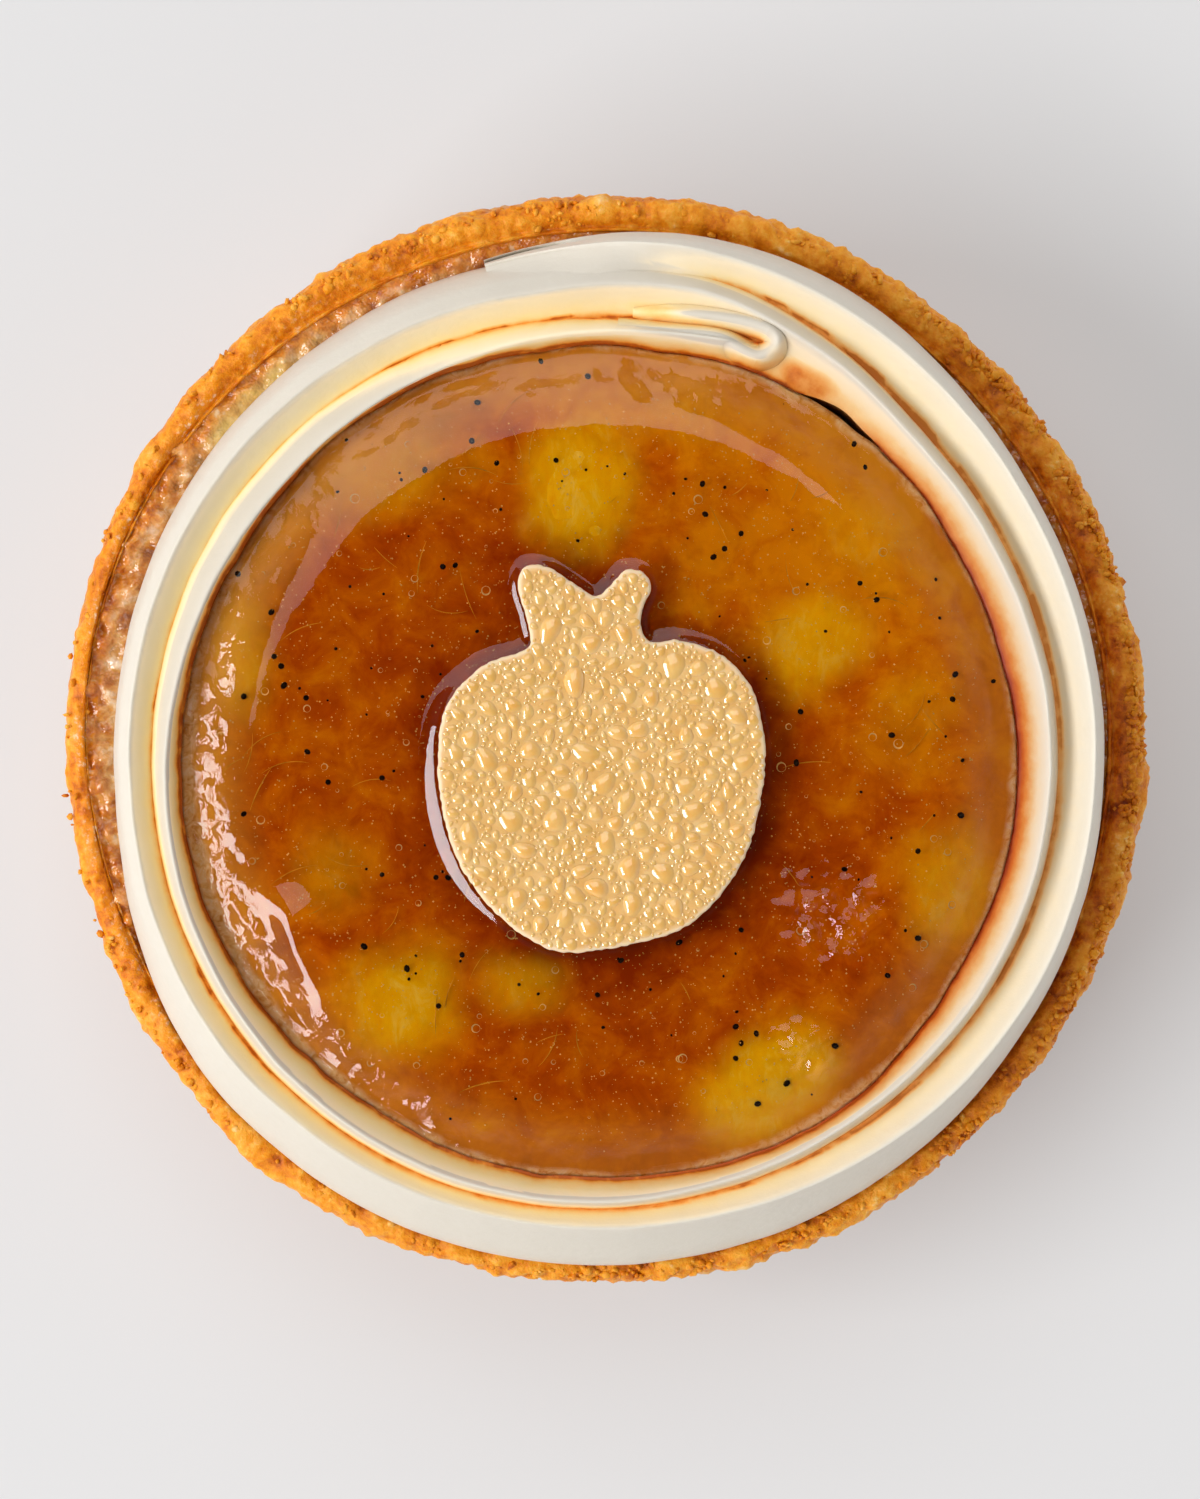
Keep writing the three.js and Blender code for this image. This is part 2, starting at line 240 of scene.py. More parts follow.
def mesh_of(name, points, faces, marks=None):
    """A mesh from points in millimetres, with a float attribute for each of the marks."""
    mesh = bpy.data.meshes.new(name)
    mesh.from_pydata((np.asarray(points, float) * MM).tolist(), [], [list(f) for f in faces])
    mesh.validate()
    mesh.update()
    for label, values in (marks or {}).items():
        mark(mesh, label, values)
    return mesh


def mark(mesh, name, values):
    """A number for each of the mesh's points, for its material to read."""
    attribute = mesh.attributes.new(name, "FLOAT", "POINT")
    attribute.data.foreach_set("value", np.asarray(values, np.float32))


def tube_mesh(name, sections):
    """A tube with closed ends, from an array of sections of [x, y, z] points."""
    length, count = sections.shape[:2]
    points = sections.reshape(-1, 3)
    faces = grid_faces(length, count, closed_columns=True)[:, ::-1].tolist()
    faces.append(list(range(count)))
    faces.append(list(range(len(points) - 1, len(points) - 1 - count, -1)))
    return mesh_of(name, points, faces)


def capped_faces(rows, segments, base=0):
    """Faces over a first point, rows of points round the axis and a last point, numbered from `base`."""
    last = base + rows * segments + 1
    faces = []
    for j in range(segments):
        k = (j + 1) % segments
        faces.append([base, base + 1 + j, base + 1 + k])
        for i in range(rows - 1):
            a = base + 1 + i * segments
            faces.append([a + j, a + segments + j, a + segments + k, a + k])
        faces.append([last, last - segments + k, last - segments + j])
    return faces


def shown(mesh, material, node=None, crease=None):
    """The mesh as a piece of the tart, with the mesh's name."""
    thing = bpy.data.objects.new(mesh.name, mesh)
    bpy.context.scene.collection.objects.link(thing)
    mesh.materials.clear()
    mesh.materials.append(material)
    mesh.shade_smooth()
    if crease is not None:
        mesh.set_sharp_from_angle(angle=math.radians(crease))
    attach(thing, "root")
    if node:
        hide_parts(node)


def turned(profile, steps, shape):
    """Points and faces of a body turned from [radius, height] points that run from axis to axis.

    `shape` gives the radii and heights for all angles, as arrays of steps by profile points.
    """
    angle = np.arange(steps) / steps * 2 * math.pi
    inner = profile[1:-1]
    radius, height = shape(angle[:, None], inner[None, :, 0], inner[None, :, 1])
    points = from_polar(angle[:, None], radius, height).reshape(-1, 3)
    columns = len(inner)
    faces = grid_faces(steps, columns, closed_rows=True)[:, ::-1].tolist()
    first, last = len(points), len(points) + 1
    points = np.vstack([points, [0, 0, profile[0][1]], [0, 0, profile[-1][1]]])
    for i in range(steps):
        here, following = i * columns, ((i + 1) % steps) * columns
        faces.append([first, following, here])
        faces.append([last, here + columns - 1, following + columns - 1])
    return points, faces


def dense(corners):
    """[radius, height] points along a smooth curve, from corners of [radius, height, steps]."""
    corners = np.array(corners, float)
    before = np.vstack([corners[:1], corners[:-1]])
    after = np.vstack([corners[1:], corners[-1:]])
    points = []
    for i in range(len(corners) - 1):
        p0, p1, p2, p3 = before[i, :2], corners[i, :2], corners[i + 1, :2], after[i + 1, :2]
        for t in np.arange(corners[i, 2]) / corners[i, 2]:
            straight = mix(p1, p2, t)
            curve = 0.5 * (
                2 * p1 + (p2 - p0) * t + (2 * p0 - 5 * p1 + 4 * p2 - p3) * t ** 2
                + (3 * p1 - p0 - 3 * p2 + p3) * t ** 3
            )
            points.append(straight if corners[i, 2] < 3 else curve)
    points.append(corners[-1, :2])
    return np.array(points)


# ---------------------------------------------------------------- materials
def fill(node, **values):
    """Sets a node's sockets. Each value is named after its socket, with _ for a space."""
    for socket, value in values.items():
        node.inputs[socket.replace("_", " ")].default_value = value


class Shader:
    """A material with one Principled shader, and short calls for the nodes that feed it."""

    def __init__(self, name, **values):
        self.material = bpy.data.materials.new(name)
        self.material.use_nodes = True
        self.nodes = self.material.node_tree.nodes
        self.links = self.material.node_tree.links
        self.main = self.nodes["Principled BSDF"]
        self.output = self.nodes["Material Output"]
        fill(self.main, **values)

    def node(self, kind, **values):
        node = self.nodes.new("ShaderNode" + kind)
        fill(node, **values)
        return node

    def feed(self, target, value):
        if isinstance(value, bpy.types.NodeSocket):
            self.links.new(value, target)
        else:
            target.default_value = value

    def mark(self, name):
        node = self.node("Attribute")
        node.attribute_name = name
        return node.outputs["Fac"]

    def noise(self, size, detail=3.0, roughness=0.55, stretch=None, distortion=0.0):
        """A noise with lumps about `size` millimetres across."""
        place = self.node("TexCoord").outputs["Object"]
        if stretch:
            mapping = self.node("Mapping", Scale=stretch)
            self.links.new(place, mapping.inputs["Vector"])
            place = mapping.outputs["Vector"]
        scale = 1 / (size * MM)
        node = self.node("TexNoise", Scale=scale, Detail=detail, Roughness=roughness, Distortion=distortion)
        self.links.new(place, node.inputs["Vector"])
        return node.outputs["Fac"]

    def ramp(self, value, stops):
        """Colours at places from 0 to 1 along the value."""
        node = self.node("ValToRGB")
        elements = node.color_ramp.elements
        while len(elements) < len(stops):
            elements.new(0.5)
        for element, (place, shade) in zip(elements, stops):
            element.position = place
            element.color = shade
        self.links.new(value, node.inputs["Fac"])
        return node.outputs["Color"]

    def span(self, value, low, high, new_low=0.0, new_high=1.0):
        node = self.node("MapRange", From_Min=low, From_Max=high, To_Min=new_low, To_Max=new_high)
        self.links.new(value, node.inputs["Value"])
        return node.outputs["Result"]

    def math(self, operation, a, b):
        node = self.node("Math")
        node.operation = operation
        self.feed(node.inputs[0], a)
        self.feed(node.inputs[1], b)
        return node.outputs["Value"]

    def times(self, a, b):
        return self.math("MULTIPLY", a, b)

    def plus(self, a, b):
        return self.math("ADD", a, b)

    def blend(self, a, b, share):
        node = self.node("Mix")
        node.data_type = "RGBA"
        self.feed(node.inputs[0], share)
        self.feed(node.inputs[6], a)
        self.feed(node.inputs[7], b)
        return node.outputs[2]

    def bump(self, height, depth):
        """A bump whose full height is `depth` millimetres."""
        node = self.node("Bump", Strength=1.0, Distance=depth * MM)
        self.links.new(height, node.inputs["Height"])
        self.links.new(node.outputs["Normal"], self.main.inputs["Normal"])

    def paint(self, shade):
        self.links.new(shade, self.main.inputs["Base Color"])

    def rough(self, value):
        self.links.new(value, self.main.inputs["Roughness"])


def under_skin(shader, weight, radii, scale):
    """Light that goes a little way into the surface. radii are shares of `scale` millimetres."""
    fill(shader.main, Subsurface_Weight=weight, Subsurface_Radius=radii, Subsurface_Scale=scale * MM)


def crust_material(name, softness):
    shader = Shader(name, Roughness=0.35, IOR=1.4, Specular_IOR_Level=0.35)
    under_skin(shader, softness, (1.0, 0.42, 0.1), 0.8)
    # On the shell the height mark follows the relief, so the colour is painted darker in the pits and low
    # places, as painted shade, and lighter on the high points; on the loose crumbs it is a random tone.
    height = shader.mark("height")
    fine = shader.noise(0.55, detail=4, roughness=0.6)
    patches = shader.noise(2.4, detail=3)
    value = shader.plus(shader.times(height, 0.4), shader.times(fine, 0.6))
    value = shader.plus(value, shader.times(patches, 0.4))
    fresh = shader.ramp(value, [
        (0.44, colour(160, 70, 0)),
        (0.58, colour(214, 116, 4)),
        (0.72, colour(236, 148, 18)),
        (0.86, colour(244, 172, 56)),
        (1.00, colour(250, 206, 140)),
    ])
    # A darker copy of the rim's colours: partly real baking, partly painted shade where the cream shades the
    # rim, on the right and towards the filling.
    bake_and_shade = shader.ramp(value, [
        (0.44, colour(100, 26, 0)),
        (0.58, colour(166, 68, 0)),
        (0.70, colour(208, 102, 2)),
        (0.84, colour(228, 140, 24)),
        (1.00, colour(240, 184, 110)),
    ])
    rim = shader.blend(fresh, bake_and_shade, shader.mark("bake_and_shade"))
    # In the soaked patches the palest colour is a painted glint: pale pink-white spots that stand for light
    # caught on wet lumps.
    soaked = shader.ramp(shader.noise(0.42, detail=3, roughness=0.6), [
        (0.50, colour(226, 136, 20)),
        (0.58, colour(222, 150, 70)),
        (0.66, colour(240, 204, 172)),
    ])
    glaze = shader.times(shader.mark("wet"), shader.span(patches, 0.42, 0.56))
    rim = shader.blend(rim, soaked, glaze)
    wall = shader.ramp(value, [
        (0.50, colour(150, 78, 22)),
        (0.68, colour(190, 116, 46)),
        (0.90, colour(220, 156, 84)),
    ])
    shader.paint(shader.blend(rim, wall, shader.mark("wall")))
    shader.rough(shader.span(shader.mark("wet"), 0.0, 1.0, 0.42, 0.14))
    shader.bump(fine, 0.2)
    return shader.material


def filling_material():
    shader = Shader("filling", Roughness=0.16, IOR=1.6)
    under_skin(shader, 0.2, (1.0, 0.5, 0.2), 1.0)
    patches = shader.noise(1.6, detail=4)
    # Lit and shaded copies of the filling's colours: where the shade mark is high, on the right, it is
    # painted darker, as painted shade.
    lit = shader.ramp(patches, [
        (0.30, colour(120, 56, 12)),
        (0.44, colour(178, 104, 36)),
        (0.56, colour(212, 152, 84)),
        (0.70, colour(240, 208, 176)),
    ])
    dim = shader.ramp(patches, [
        (0.30, colour(70, 28, 6)),
        (0.52, colour(104, 48, 14)),
        (0.74, colour(142, 84, 40)),
    ])
    shade = shader.blend(lit, dim, shader.mark("shade"))
    shade = shader.blend(shade, colour(214, 176, 96), shader.mark("fruit"))
    crumb = shader.ramp(shader.noise(0.9, detail=3), [
        (0.34, colour(170, 74, 4)),
        (0.50, colour(222, 128, 16)),
        (0.62, colour(228, 152, 60)),
        (0.72, colour(240, 204, 160)),
    ])
    shader.paint(shader.blend(shade, crumb, shader.times(shader.mark("crumb"), 0.85)))
    shader.rough(shader.span(shader.mark("wet"), 0.0, 1.0, 0.2, 0.06))
    shader.bump(shader.noise(0.8, detail=2), 0.3)
    return shader.material


def cream_material():
    shader = Shader("cream", Roughness=0.42, IOR=1.42, Specular_IOR_Level=0.35)
    under_skin(shader, 0.35, (1.0, 1.0, 1.0), 0.5)
    uneven = shader.span(shader.noise(1.1, detail=3), 0.3, 0.7, 0.85, 1.15)
    # The depth mark paints shade: the cream turns yellower and darker down its grooves, as painted shade.
    groove = shader.times(shader.mark("depth"), uneven)
    # Left and right copies of the cream's colours, for how the light falls on each side: the slopes on the
    # left face away from the lamp and are painted brighter and yellower, as painted light, and the outer
    # walls are painted a little darker to tone down their light.
    left = shader.ramp(groove, [
        (0.00, colour(214, 206, 192)),
        (0.05, colour(252, 234, 200)),
        (0.25, colour(255, 230, 170)),
        (0.48, colour(255, 214, 136)),
        (0.66, colour(255, 190, 94)),
        (0.82, colour(240, 148, 40)),
        (0.97, colour(190, 92, 16)),
    ])
    right = shader.ramp(groove, [
        (0.00, colour(221, 214, 200)),
        (0.30, colour(238, 220, 188)),
        (0.52, colour(246, 214, 164)),
        (0.66, colour(248, 198, 132)),
        (0.84, colour(246, 180, 100)),
        (0.98, colour(220, 142, 64)),
    ])
    # Painted light and shade where the cream slopes to the jelly: orange light from the jelly, deepening to
    # dark red-brown shade where they meet.
    jelly_glow_and_shade = shader.ramp(groove, [
        (0.00, colour(216, 206, 190)),
        (0.14, colour(216, 192, 158)),
        (0.26, colour(210, 162, 108)),
        (0.40, colour(202, 124, 54)),
        (0.58, colour(186, 86, 14)),
        (0.95, colour(150, 44, 0)),
    ])
    right = shader.blend(right, jelly_glow_and_shade, shader.mark("inner"))
    shader.paint(shader.blend(left, right, shader.mark("right")))
    streaks = shader.noise(0.7, detail=3)
    shader.rough(shader.span(streaks, 0.3, 0.7, 0.36, 0.5))
    shader.bump(streaks, 0.03)
    return shader.material


def jelly_material():
    shader = Shader(
        "jelly", Roughness=0.02, IOR=1.45, Transmission_Weight=1.0, Base_Color=(1.0, 0.985, 0.95, 1.0)
    )
    volume = shader.node("VolumeAbsorption", Color=(0.98, 0.84, 0.12, 1.0), Density=260.0)
    shader.links.new(volume.outputs["Volume"], shader.output.inputs["Volume"])
    fine = shader.noise(0.8, detail=2, distortion=0.8)
    wrinkles = shader.times(fine, shader.times(shader.mark("wrinkled"), 0.08))
    calm = shader.times(shader.noise(1.6, detail=3), 0.012)
    shader.bump(shader.plus(wrinkles, calm), 1.0)
    return shader.material


def pulp_material():
    shader = Shader("pulp", Roughness=0.7, IOR=1.4, Specular_IOR_Level=0.0)
    cloud = shader.noise(3.4, detail=5, roughness=0.62, distortion=0.4)
    value = shader.plus(cloud, shader.times(shader.mark("tone"), 0.3))
    brown = shader.ramp(value, [
        (0.22, colour(158, 54, 0)),
        (0.42, colour(192, 84, 0)),
        (0.58, colour(214, 112, 0)),
        (0.78, colour(234, 148, 6)),
    ])
    fibres = shader.noise(1.3, detail=5, roughness=0.7, stretch=(1.0, 0.5, 1.0), distortion=0.6)
    fruit = shader.ramp(fibres, [
        (0.30, colour(252, 182, 0)),
        (0.52, colour(255, 202, 8)),
        (0.75, colour(255, 224, 90)),
    ])
    shade = shader.blend(brown, fruit, shader.mark("fruit"))
    near_edge = shader.times(shader.mark("edge"), 0.65)
    shade = shader.blend(shade, colour(240, 178, 70), near_edge)
    # The pale threaded skin at the jelly's edge: a real skin, painted paler as a painted reflection of the
    # sky and to light it up in the lip's shadow.
    threads = shader.noise(0.9, detail=5, roughness=0.65, distortion=1.2)
    film = shader.ramp(threads, [
        (0.34, colour(226, 150, 76)),
        (0.48, colour(250, 204, 140)),
        (0.68, colour(255, 228, 190)),
    ])
    shader.paint(shader.blend(shade, film, shader.mark("film")))
    return shader.material


def fruit_material():
    shader = Shader("fruit", Roughness=0.7, IOR=1.4, Specular_IOR_Level=0.0)
    fibres = shader.noise(1.0, detail=5, roughness=0.7, stretch=(1.0, 0.4, 1.0), distortion=0.5)
    shader.paint(shader.ramp(fibres, [
        (0.30, colour(252, 180, 6)),
        (0.52, colour(255, 202, 24)),
        (0.78, colour(255, 226, 120)),
    ]))
    return shader.material


def plaque_material():
    shader = Shader("plaque", Roughness=0.42, IOR=1.45, Specular_IOR_Level=0.2)
    under_skin(shader, 0.3, (1.0, 0.6, 0.3), 0.8)
    blotches = shader.noise(1.4, detail=4)
    face = shader.ramp(blotches, [
        (0.32, colour(228, 172, 98)),
        (0.55, colour(235, 185, 116)),
        (0.78, colour(243, 202, 146)),
    ])
    shader.paint(shader.blend(face, colour(240, 214, 178), shader.mark("edge")))
    shader.bump(shader.noise(0.35, detail=3), 0.03)
    return shader.material


def water_material():
    shader = Shader("water", Roughness=0.03, IOR=1.5, Specular_IOR_Level=1.0)
    under_skin(shader, 0.3, (1.0, 0.6, 0.3), 0.8)
    tint = shader.noise(1.4, detail=3)
    shader.paint(shader.ramp(tint, [(0.3, colour(242, 176, 90)), (0.7, colour(246, 192, 116))]))
    return shader.material


def speck_material(name, shade, roughness):
    shader = Shader(name, Roughness=roughness, Specular_IOR_Level=0.1)
    tint = shader.noise(0.8, detail=2)
    darker = tuple(0.6 * c for c in shade[:3]) + (1.0,)
    shader.paint(shader.ramp(tint, [(0.3, darker), (0.7, shade)]))
    return shader.material


# ---------------------------------------------------------------- crust
def hollow_growth(angle):
    return WALL_THINNER * towards(angle, *THIN_SIDE)


# Lumps and hollows of the outer side: direction, reach to either side, and how far it stands out.
OUTER_LUMPS = [[-131, 7, 0.55], [-5, 5, 0.4], [172, 40, -0.45]]
CRUST_PROFILE = dense([
    [0, 0, 1],
    [38.6, 0, 2],
    [39.5, 0.7, 10],
    [39.7, 4.4, 10],
    [39.8, 8.1, 10],
    [39.9, 11.8, 10],
    [39.95, 15.4, 9],
    [40.0, 18.3, 5],
    [39.8, 19.3, 5],
    [39.2, 19.95, 4],
    [38.4, 20.0, 4],
    [37.7, 19.4, 5],
    [37.15, 18.2, 2],
    [36.2, 3.0, 1],
    [0, 3.0, 1],
])


def crust_piece():
    def shape(angle, radius, height):
        outside = ease(radius, 38.2, 38.8)
        inside = (1 - ease(radius, 37.2, 38.4)) * (height > FLOOR + 1)
        share = height / RIM
        lumps = sum(out * towards(angle, middle, reach) for middle, reach, out in OUTER_LUMPS)
        sway = 0.3 * unevenness(angle, 9, 1) * share
        return radius + sway + outside * lumps * share + inside * hollow_growth(angle), height + 0 * angle

    points, faces = turned(CRUST_PROFILE, SHELL_STEPS, shape)
    angle, radius = polar(points)
    # The left side has soaked up glaze and is smoother than the dry crumb on the right.
    wet = towards(angle, SOAKED_SIDE, 110)
    pits = 0.55 - grains(points, 1.25, 5)
    grit = 0.55 - grains(points, 0.6, 9)
    swell = fractal(points, 2.6, 12)
    drips = wet * (1 - ease(radius, 38.6, 39.4)) * (0.5 - grains(points, 0.9, 15))
    relief = 0.46 * swell + mix(0.44, 0.26, wet) * pits + mix(0.24, 0.06, wet) * grit + 0.5 * drips
    skin = ease(points[:, 2], 0.25, 0.9) * ease(radius, 36.9, 37.6)
    out = relief * skin
    side = ease(radius, 38.2, 39.6)
    points[:, 0] += out * side * np.cos(angle)
    points[:, 1] += out * side * np.sin(angle)
    points[:, 2] += out * (1 - 0.6 * side) * ease(points[:, 2], 17, 19)
    wall = (1 - ease(points[:, 2], 14.5, 18.3)) * ease(radius, 38.4, 39.0)
    soaked = towards(angle, SOAKED_SIDE, 80) * (1 - ease(radius, 38.4, 39.3)) * ease(points[:, 2], 17, 18)
    # The height mark carries the relief, for painted shade in the pits.
    marks = {"height": 0.5 + 0.9 * relief, "bake_and_shade": bake_and_shade_share(points), "wall": wall, "wet": soaked}
    mesh = mesh_of("crust_crumb", points, faces, marks)
    shown(mesh, crust_material("crust", 0.3), "crust")


def bake_and_shade_share(points):
    """How dark the shell is painted: most on the right, and more towards the filling, partly real baking and
    partly painted shade from the cream.
    """
    angle, radius = polar(points)
    inner = 1 - ease(radius, 37.8, 39.6)
    side = towards(angle, DRY_SHADED_SIDE, 80)
    across = mix(0.3 * inner, 0.1 + 1.1 * inner, side)
    return np.clip(across + 0.25 * fractal(points, 4.0, 30), 0, 1)


CRUMB_COUNT = 2400


def loose_crumbs():
    """Coarse crumbs that stand out of the rim and hang on its outer edge, most on its dry side."""
    draw = np.random.default_rng(151)
    angle = draw.random(CRUMB_COUNT) * 2 * math.pi
    across = draw.random(CRUMB_COUNT)
    moved = towards(angle, SOAKED_SIDE, 110) > draw.random(CRUMB_COUNT) * 1.1
    angle = np.where(moved, angle + math.pi, angle)
    radius = mix(37.9, 39.9, across ** 0.7)
    height = 19.85 - 0.9 * ease(across, 0.7, 1.0) - 0.5 * (1 - ease(across, 0.0, 0.3))
    centres = from_polar(angle, radius, height)
    size = mix(0.12, 0.32, draw.random(CRUMB_COUNT) ** 1.6)
    sizes = size[:, None] * mix(0.6, 1.5, draw.random((CRUMB_COUNT, 3)))
    unit_points, unit_faces = ball(4, 6)
    count = len(unit_points)
    corners = np.tile(unit_points, (CRUMB_COUNT, 1))
    places = np.repeat(centres, count, axis=0)
    dents = 0.45 * noise(places + 0.3 * corners, 0.3, 157)[:, None]
    points = places + corners * np.repeat(sizes, count, axis=0) * (1 + dents)
    faces = [[k + i * count for k in face] for i in range(CRUMB_COUNT) for face in unit_faces]
    shade = np.repeat(draw.random(CRUMB_COUNT), count)
    none = 0 * shade
    marks = {"height": 0.3 + 0.5 * shade, "bake_and_shade": 0.9 * bake_and_shade_share(places), "wall": none, "wet": none}
    mesh = mesh_of("crust_crumbs", points, faces, marks)
    shown(mesh, crust_material("crumbs", 0.0))


# ---------------------------------------------------------------- filling
FILLING_PROFILE = dense([
    [0, FLOOR + CLEAR, 1],
    [35.6, FLOOR + CLEAR, 1],
    [36.5, 17.6, 2],
    [38.2, 18.6, 2],
    [38.1, 19.0, 6],
    [37.2, 19.05, 6],
    [36.3, 18.95, 6],
    [35.2, 18.75, 6],
    [33.5, 18.6, 1],
    [0, 18.6, 1],
])


def filling_piece():
    def shape(angle, radius, height):
        edge = ease(radius, 35.4, 36.4)
        return radius + edge * hollow_growth(angle), height + 0 * angle

    points, faces = turned(FILLING_PROFILE, FILLING_STEPS, shape)
    angle, radius = polar(points)
    left = 0.35 + 0.65 * towards(angle, SOAKED_SIDE, 75)
    top = ease(points[:, 2], 18.2, 18.7) * ease(radius, 35.0, 36.2)
    lumps = 1.1 * (0.6 - grains(points, 1.2, 41)) + 0.7 * fractal(points, 0.9, 44)
    points[:, 2] += top * (left * 0.8 * lumps + 0.25 * towards(angle, *THIN_SIDE))
    fruit = towards(angle, 136, 16) * (0.6 + 0.6 * noise(points, 2.0, 47))
    crumb = ease(radius - hollow_growth(angle), 36.0, 37.1) + 0.4 * fractal(points, 1.5, 49)
    marks = {
        "fruit": np.clip(1.4 * fruit, 0, 1),
        "wet": towards(angle, 174, 34),
        # Painted shade, darkest on the right.
        "shade": towards(angle, -20, 110),
        "crumb": np.clip(crumb, 0, 1),
    }
    mesh = mesh_of("filling_glaze", points, faces, marks)
    shown(mesh, filling_material(), "filling")


# ---------------------------------------------------------------- cream
RIBBON_START = 68
RIBBON_END = 824
lip_radius = smooth_line([
    [RIBBON_START, 30.6],
    [80, 29.8],
    [110, 29.4],
    [145, 29.9],
    [200, 32.5],
    [250, 33.6],
    [300, 33.0],
    [345, 32.7],
    [400, 31.3],
    [420, 32.2],
    [438, 33.2],
    [460, 32.8],
    [510, 33.8],
    [545, 34.4],
    [580, 35.5],
    [640, 35.4],
    [690, 36.1],
    [750, 35.2],
    [800, 36.1],
    [RIBBON_END, 35.8],
])
upper_lean = smooth_line([
    [RIBBON_START, 0.6],
    [85, 0.8],
    [105, 1.5],
    [145, 2.2],
    [190, 1.1],
    [240, 0.8],
    [330, 0.6],
    [400, 0.8],
    [450, 1.4],
    [520, 0.9],
    [600, 1.0],
    [690, 0.6],
    [790, 0.7],
    [RIBBON_END, 0.3],
])
whole_lean = smooth_line([
    [RIBBON_START, 2.0],
    [440, 2.4],
    [465, 3.1],
    [500, 2.3],
    [545, 1.8],
    [585, 2.9],
    [640, 3.2],
    [690, 1.5],
    [750, 1.4],
    [785, 1.9],
    [RIBBON_END, 0.7],
])
# The open gap between the ribbon and the jelly: its turn, its reach to either side and its width.
GAP_TURN = 413.5
GAP_REACH = 10
GAP_WIDTH = 0.5
# The painted brown shade beside the gap: its direction, and the radii over which it fades.
GAP_SHADE_SIDE = 60.5
GAP_SHADE_FADES = (30.1, 31.4)
# The inner edge of the rounded lip: how far inside the crest it is, and how far below.
LIP_INSET = 0.15
LIP_FALL = 0.04
# The distance over which the slope inside the lip runs out.
DIP_REACH = 1.3
# The turns up to which the ribbon faces the jelly, and from which its tail lies flat.
LAST_TURN_AT_JELLY = 424
TAIL_LAID = 792
# How far the ribbon's slope runs in under the jelly's edge, and the height where it ends.
UNDER_JELLY = 0.2
SLOPE_FOOT = 25.55


def jelly_side(angle):
    """How far from the origin the jelly's side is in one direction."""
    facing = np.stack([np.cos(angle), np.sin(angle)], axis=-1)
    along = facing @ JELLY_CENTRE
    across = JELLY_CENTRE[0] * np.sin(angle) - JELLY_CENTRE[1] * np.cos(angle)
    round_side = along + np.sqrt(JELLY_RADIUS ** 2 - across ** 2)
    off = facing * round_side[..., None] - JELLY_CENTRE
    bulge = edge_bulge(np.arctan2(off[..., 1], off[..., 0]))
    return along + np.sqrt((JELLY_RADIUS + bulge) ** 2 - across ** 2)


def groove_fall(depth):
    """How far the slope inside the lip has fallen at a distance from the crest."""
    return RIBBON_DIP * (1 - np.exp(-(depth - LIP_INSET) / DIP_REACH))


def foot_height(radius):
    start = HOLLOW_RADIUS - 0.7
    return CREAM_BASE + (RIM + 0.45 - CREAM_BASE) * ease(radius, start, start + 1.6)


def ribbon_sections(degrees):
    """Sections of the ribbon at the given turns, as an array of [radius, height] points for each."""
    angle = np.radians(degrees)
    path = np.column_stack([degrees * 0.6, 0 * degrees, 0 * degrees])
    tail = ease(degrees, RIBBON_END - 26, RIBBON_END + 4)
    lip = lip_radius(degrees) + 0.07 * fractal(path, 5.0, 61)
    top = LIP_HEIGHT + 0.12 * unevenness(angle / 3, 17, 120) + 0.05 * fractal(path, 3.0, 63)
    top = top - RIBBON_TAIL_FALL * tail
    upper, whole = upper_lean(degrees), whole_lean(degrees)
    # The start sinks under the folded lip that stands on it.
    top = top - 1.0 * (1 - ease(degrees, RIBBON_START, RIBBON_START + 6))
    foot = lip + whole
    gap = 1 - ease(np.abs(degrees - GAP_TURN), 0, GAP_REACH)
    inner_depth = np.minimum(RIBBON_WIDTH, lip - jelly_side(angle) + mix(UNDER_JELLY, -GAP_WIDTH, gap))
    # Where the ribbon faces the jelly, its slope runs down under the jelly's edge.
    faces_jelly = 1 - ease(degrees, LAST_TURN_AT_JELLY, LAST_TURN_AT_JELLY + 10)
    slope_end = top - LIP_FALL - groove_fall(inner_depth)
    plunge = faces_jelly * np.maximum(slope_end - SLOPE_FOOT, 0)
    # The tail lies flat against the turn before it, so its groove runs out.
    laid = ease(degrees, TAIL_LAID, TAIL_LAID + 20)
    lap_before = lip_radius(np.maximum(degrees - 360, RIBBON_START)) + 0.1
    rows = []

    def add(radius, height):
        rows.append(np.column_stack([radius + 0 * lip, height + 0 * lip]))

    add(foot, foot_height(foot))
    add(lip + mix(upper, whole, 0.85), mix(foot_height(foot), top, 0.2))
    add(lip + mix(upper, whole, 0.55), mix(CREAM_BASE, top, 0.5))
    add(lip + mix(upper, whole, 0.22), top - 3.0)
    for share, fall in ((1.0, 2.0), (0.8, 1.5), (0.58, 1.05), (0.37, 0.65), (0.2, 0.32), (0.09, 0.12)):
        add(lip + share * upper, top - fall)
    add(lip + 0.02, top - 0.03)
    add(lip - 0.06, top)
    add(lip - LIP_INSET, top - LIP_FALL)
    for share in np.linspace(0, 1, 16)[1:]:
        depth = mix(LIP_INSET, inner_depth, share)
        dip = groove_fall(depth) + plunge * ease(share, 0.2, 1.05)
        sheet_radius = mix(lip - LIP_INSET, lap_before, share)
        sheet_height = mix(top - LIP_FALL, LIP_HEIGHT - 0.7, ease(share, -0.1, 1.1))
        add(mix(lip - depth, sheet_radius, laid), mix(top - LIP_FALL - dip, sheet_height, laid))
    add(lip - inner_depth, mix(CREAM_BASE, top, 0.5))
    add(lip - inner_depth, CREAM_BASE)
    add(np.minimum(HOLLOW_RADIUS - 0.8, foot - 0.4), CREAM_BASE)
    return angle, np.stack(rows, axis=1)


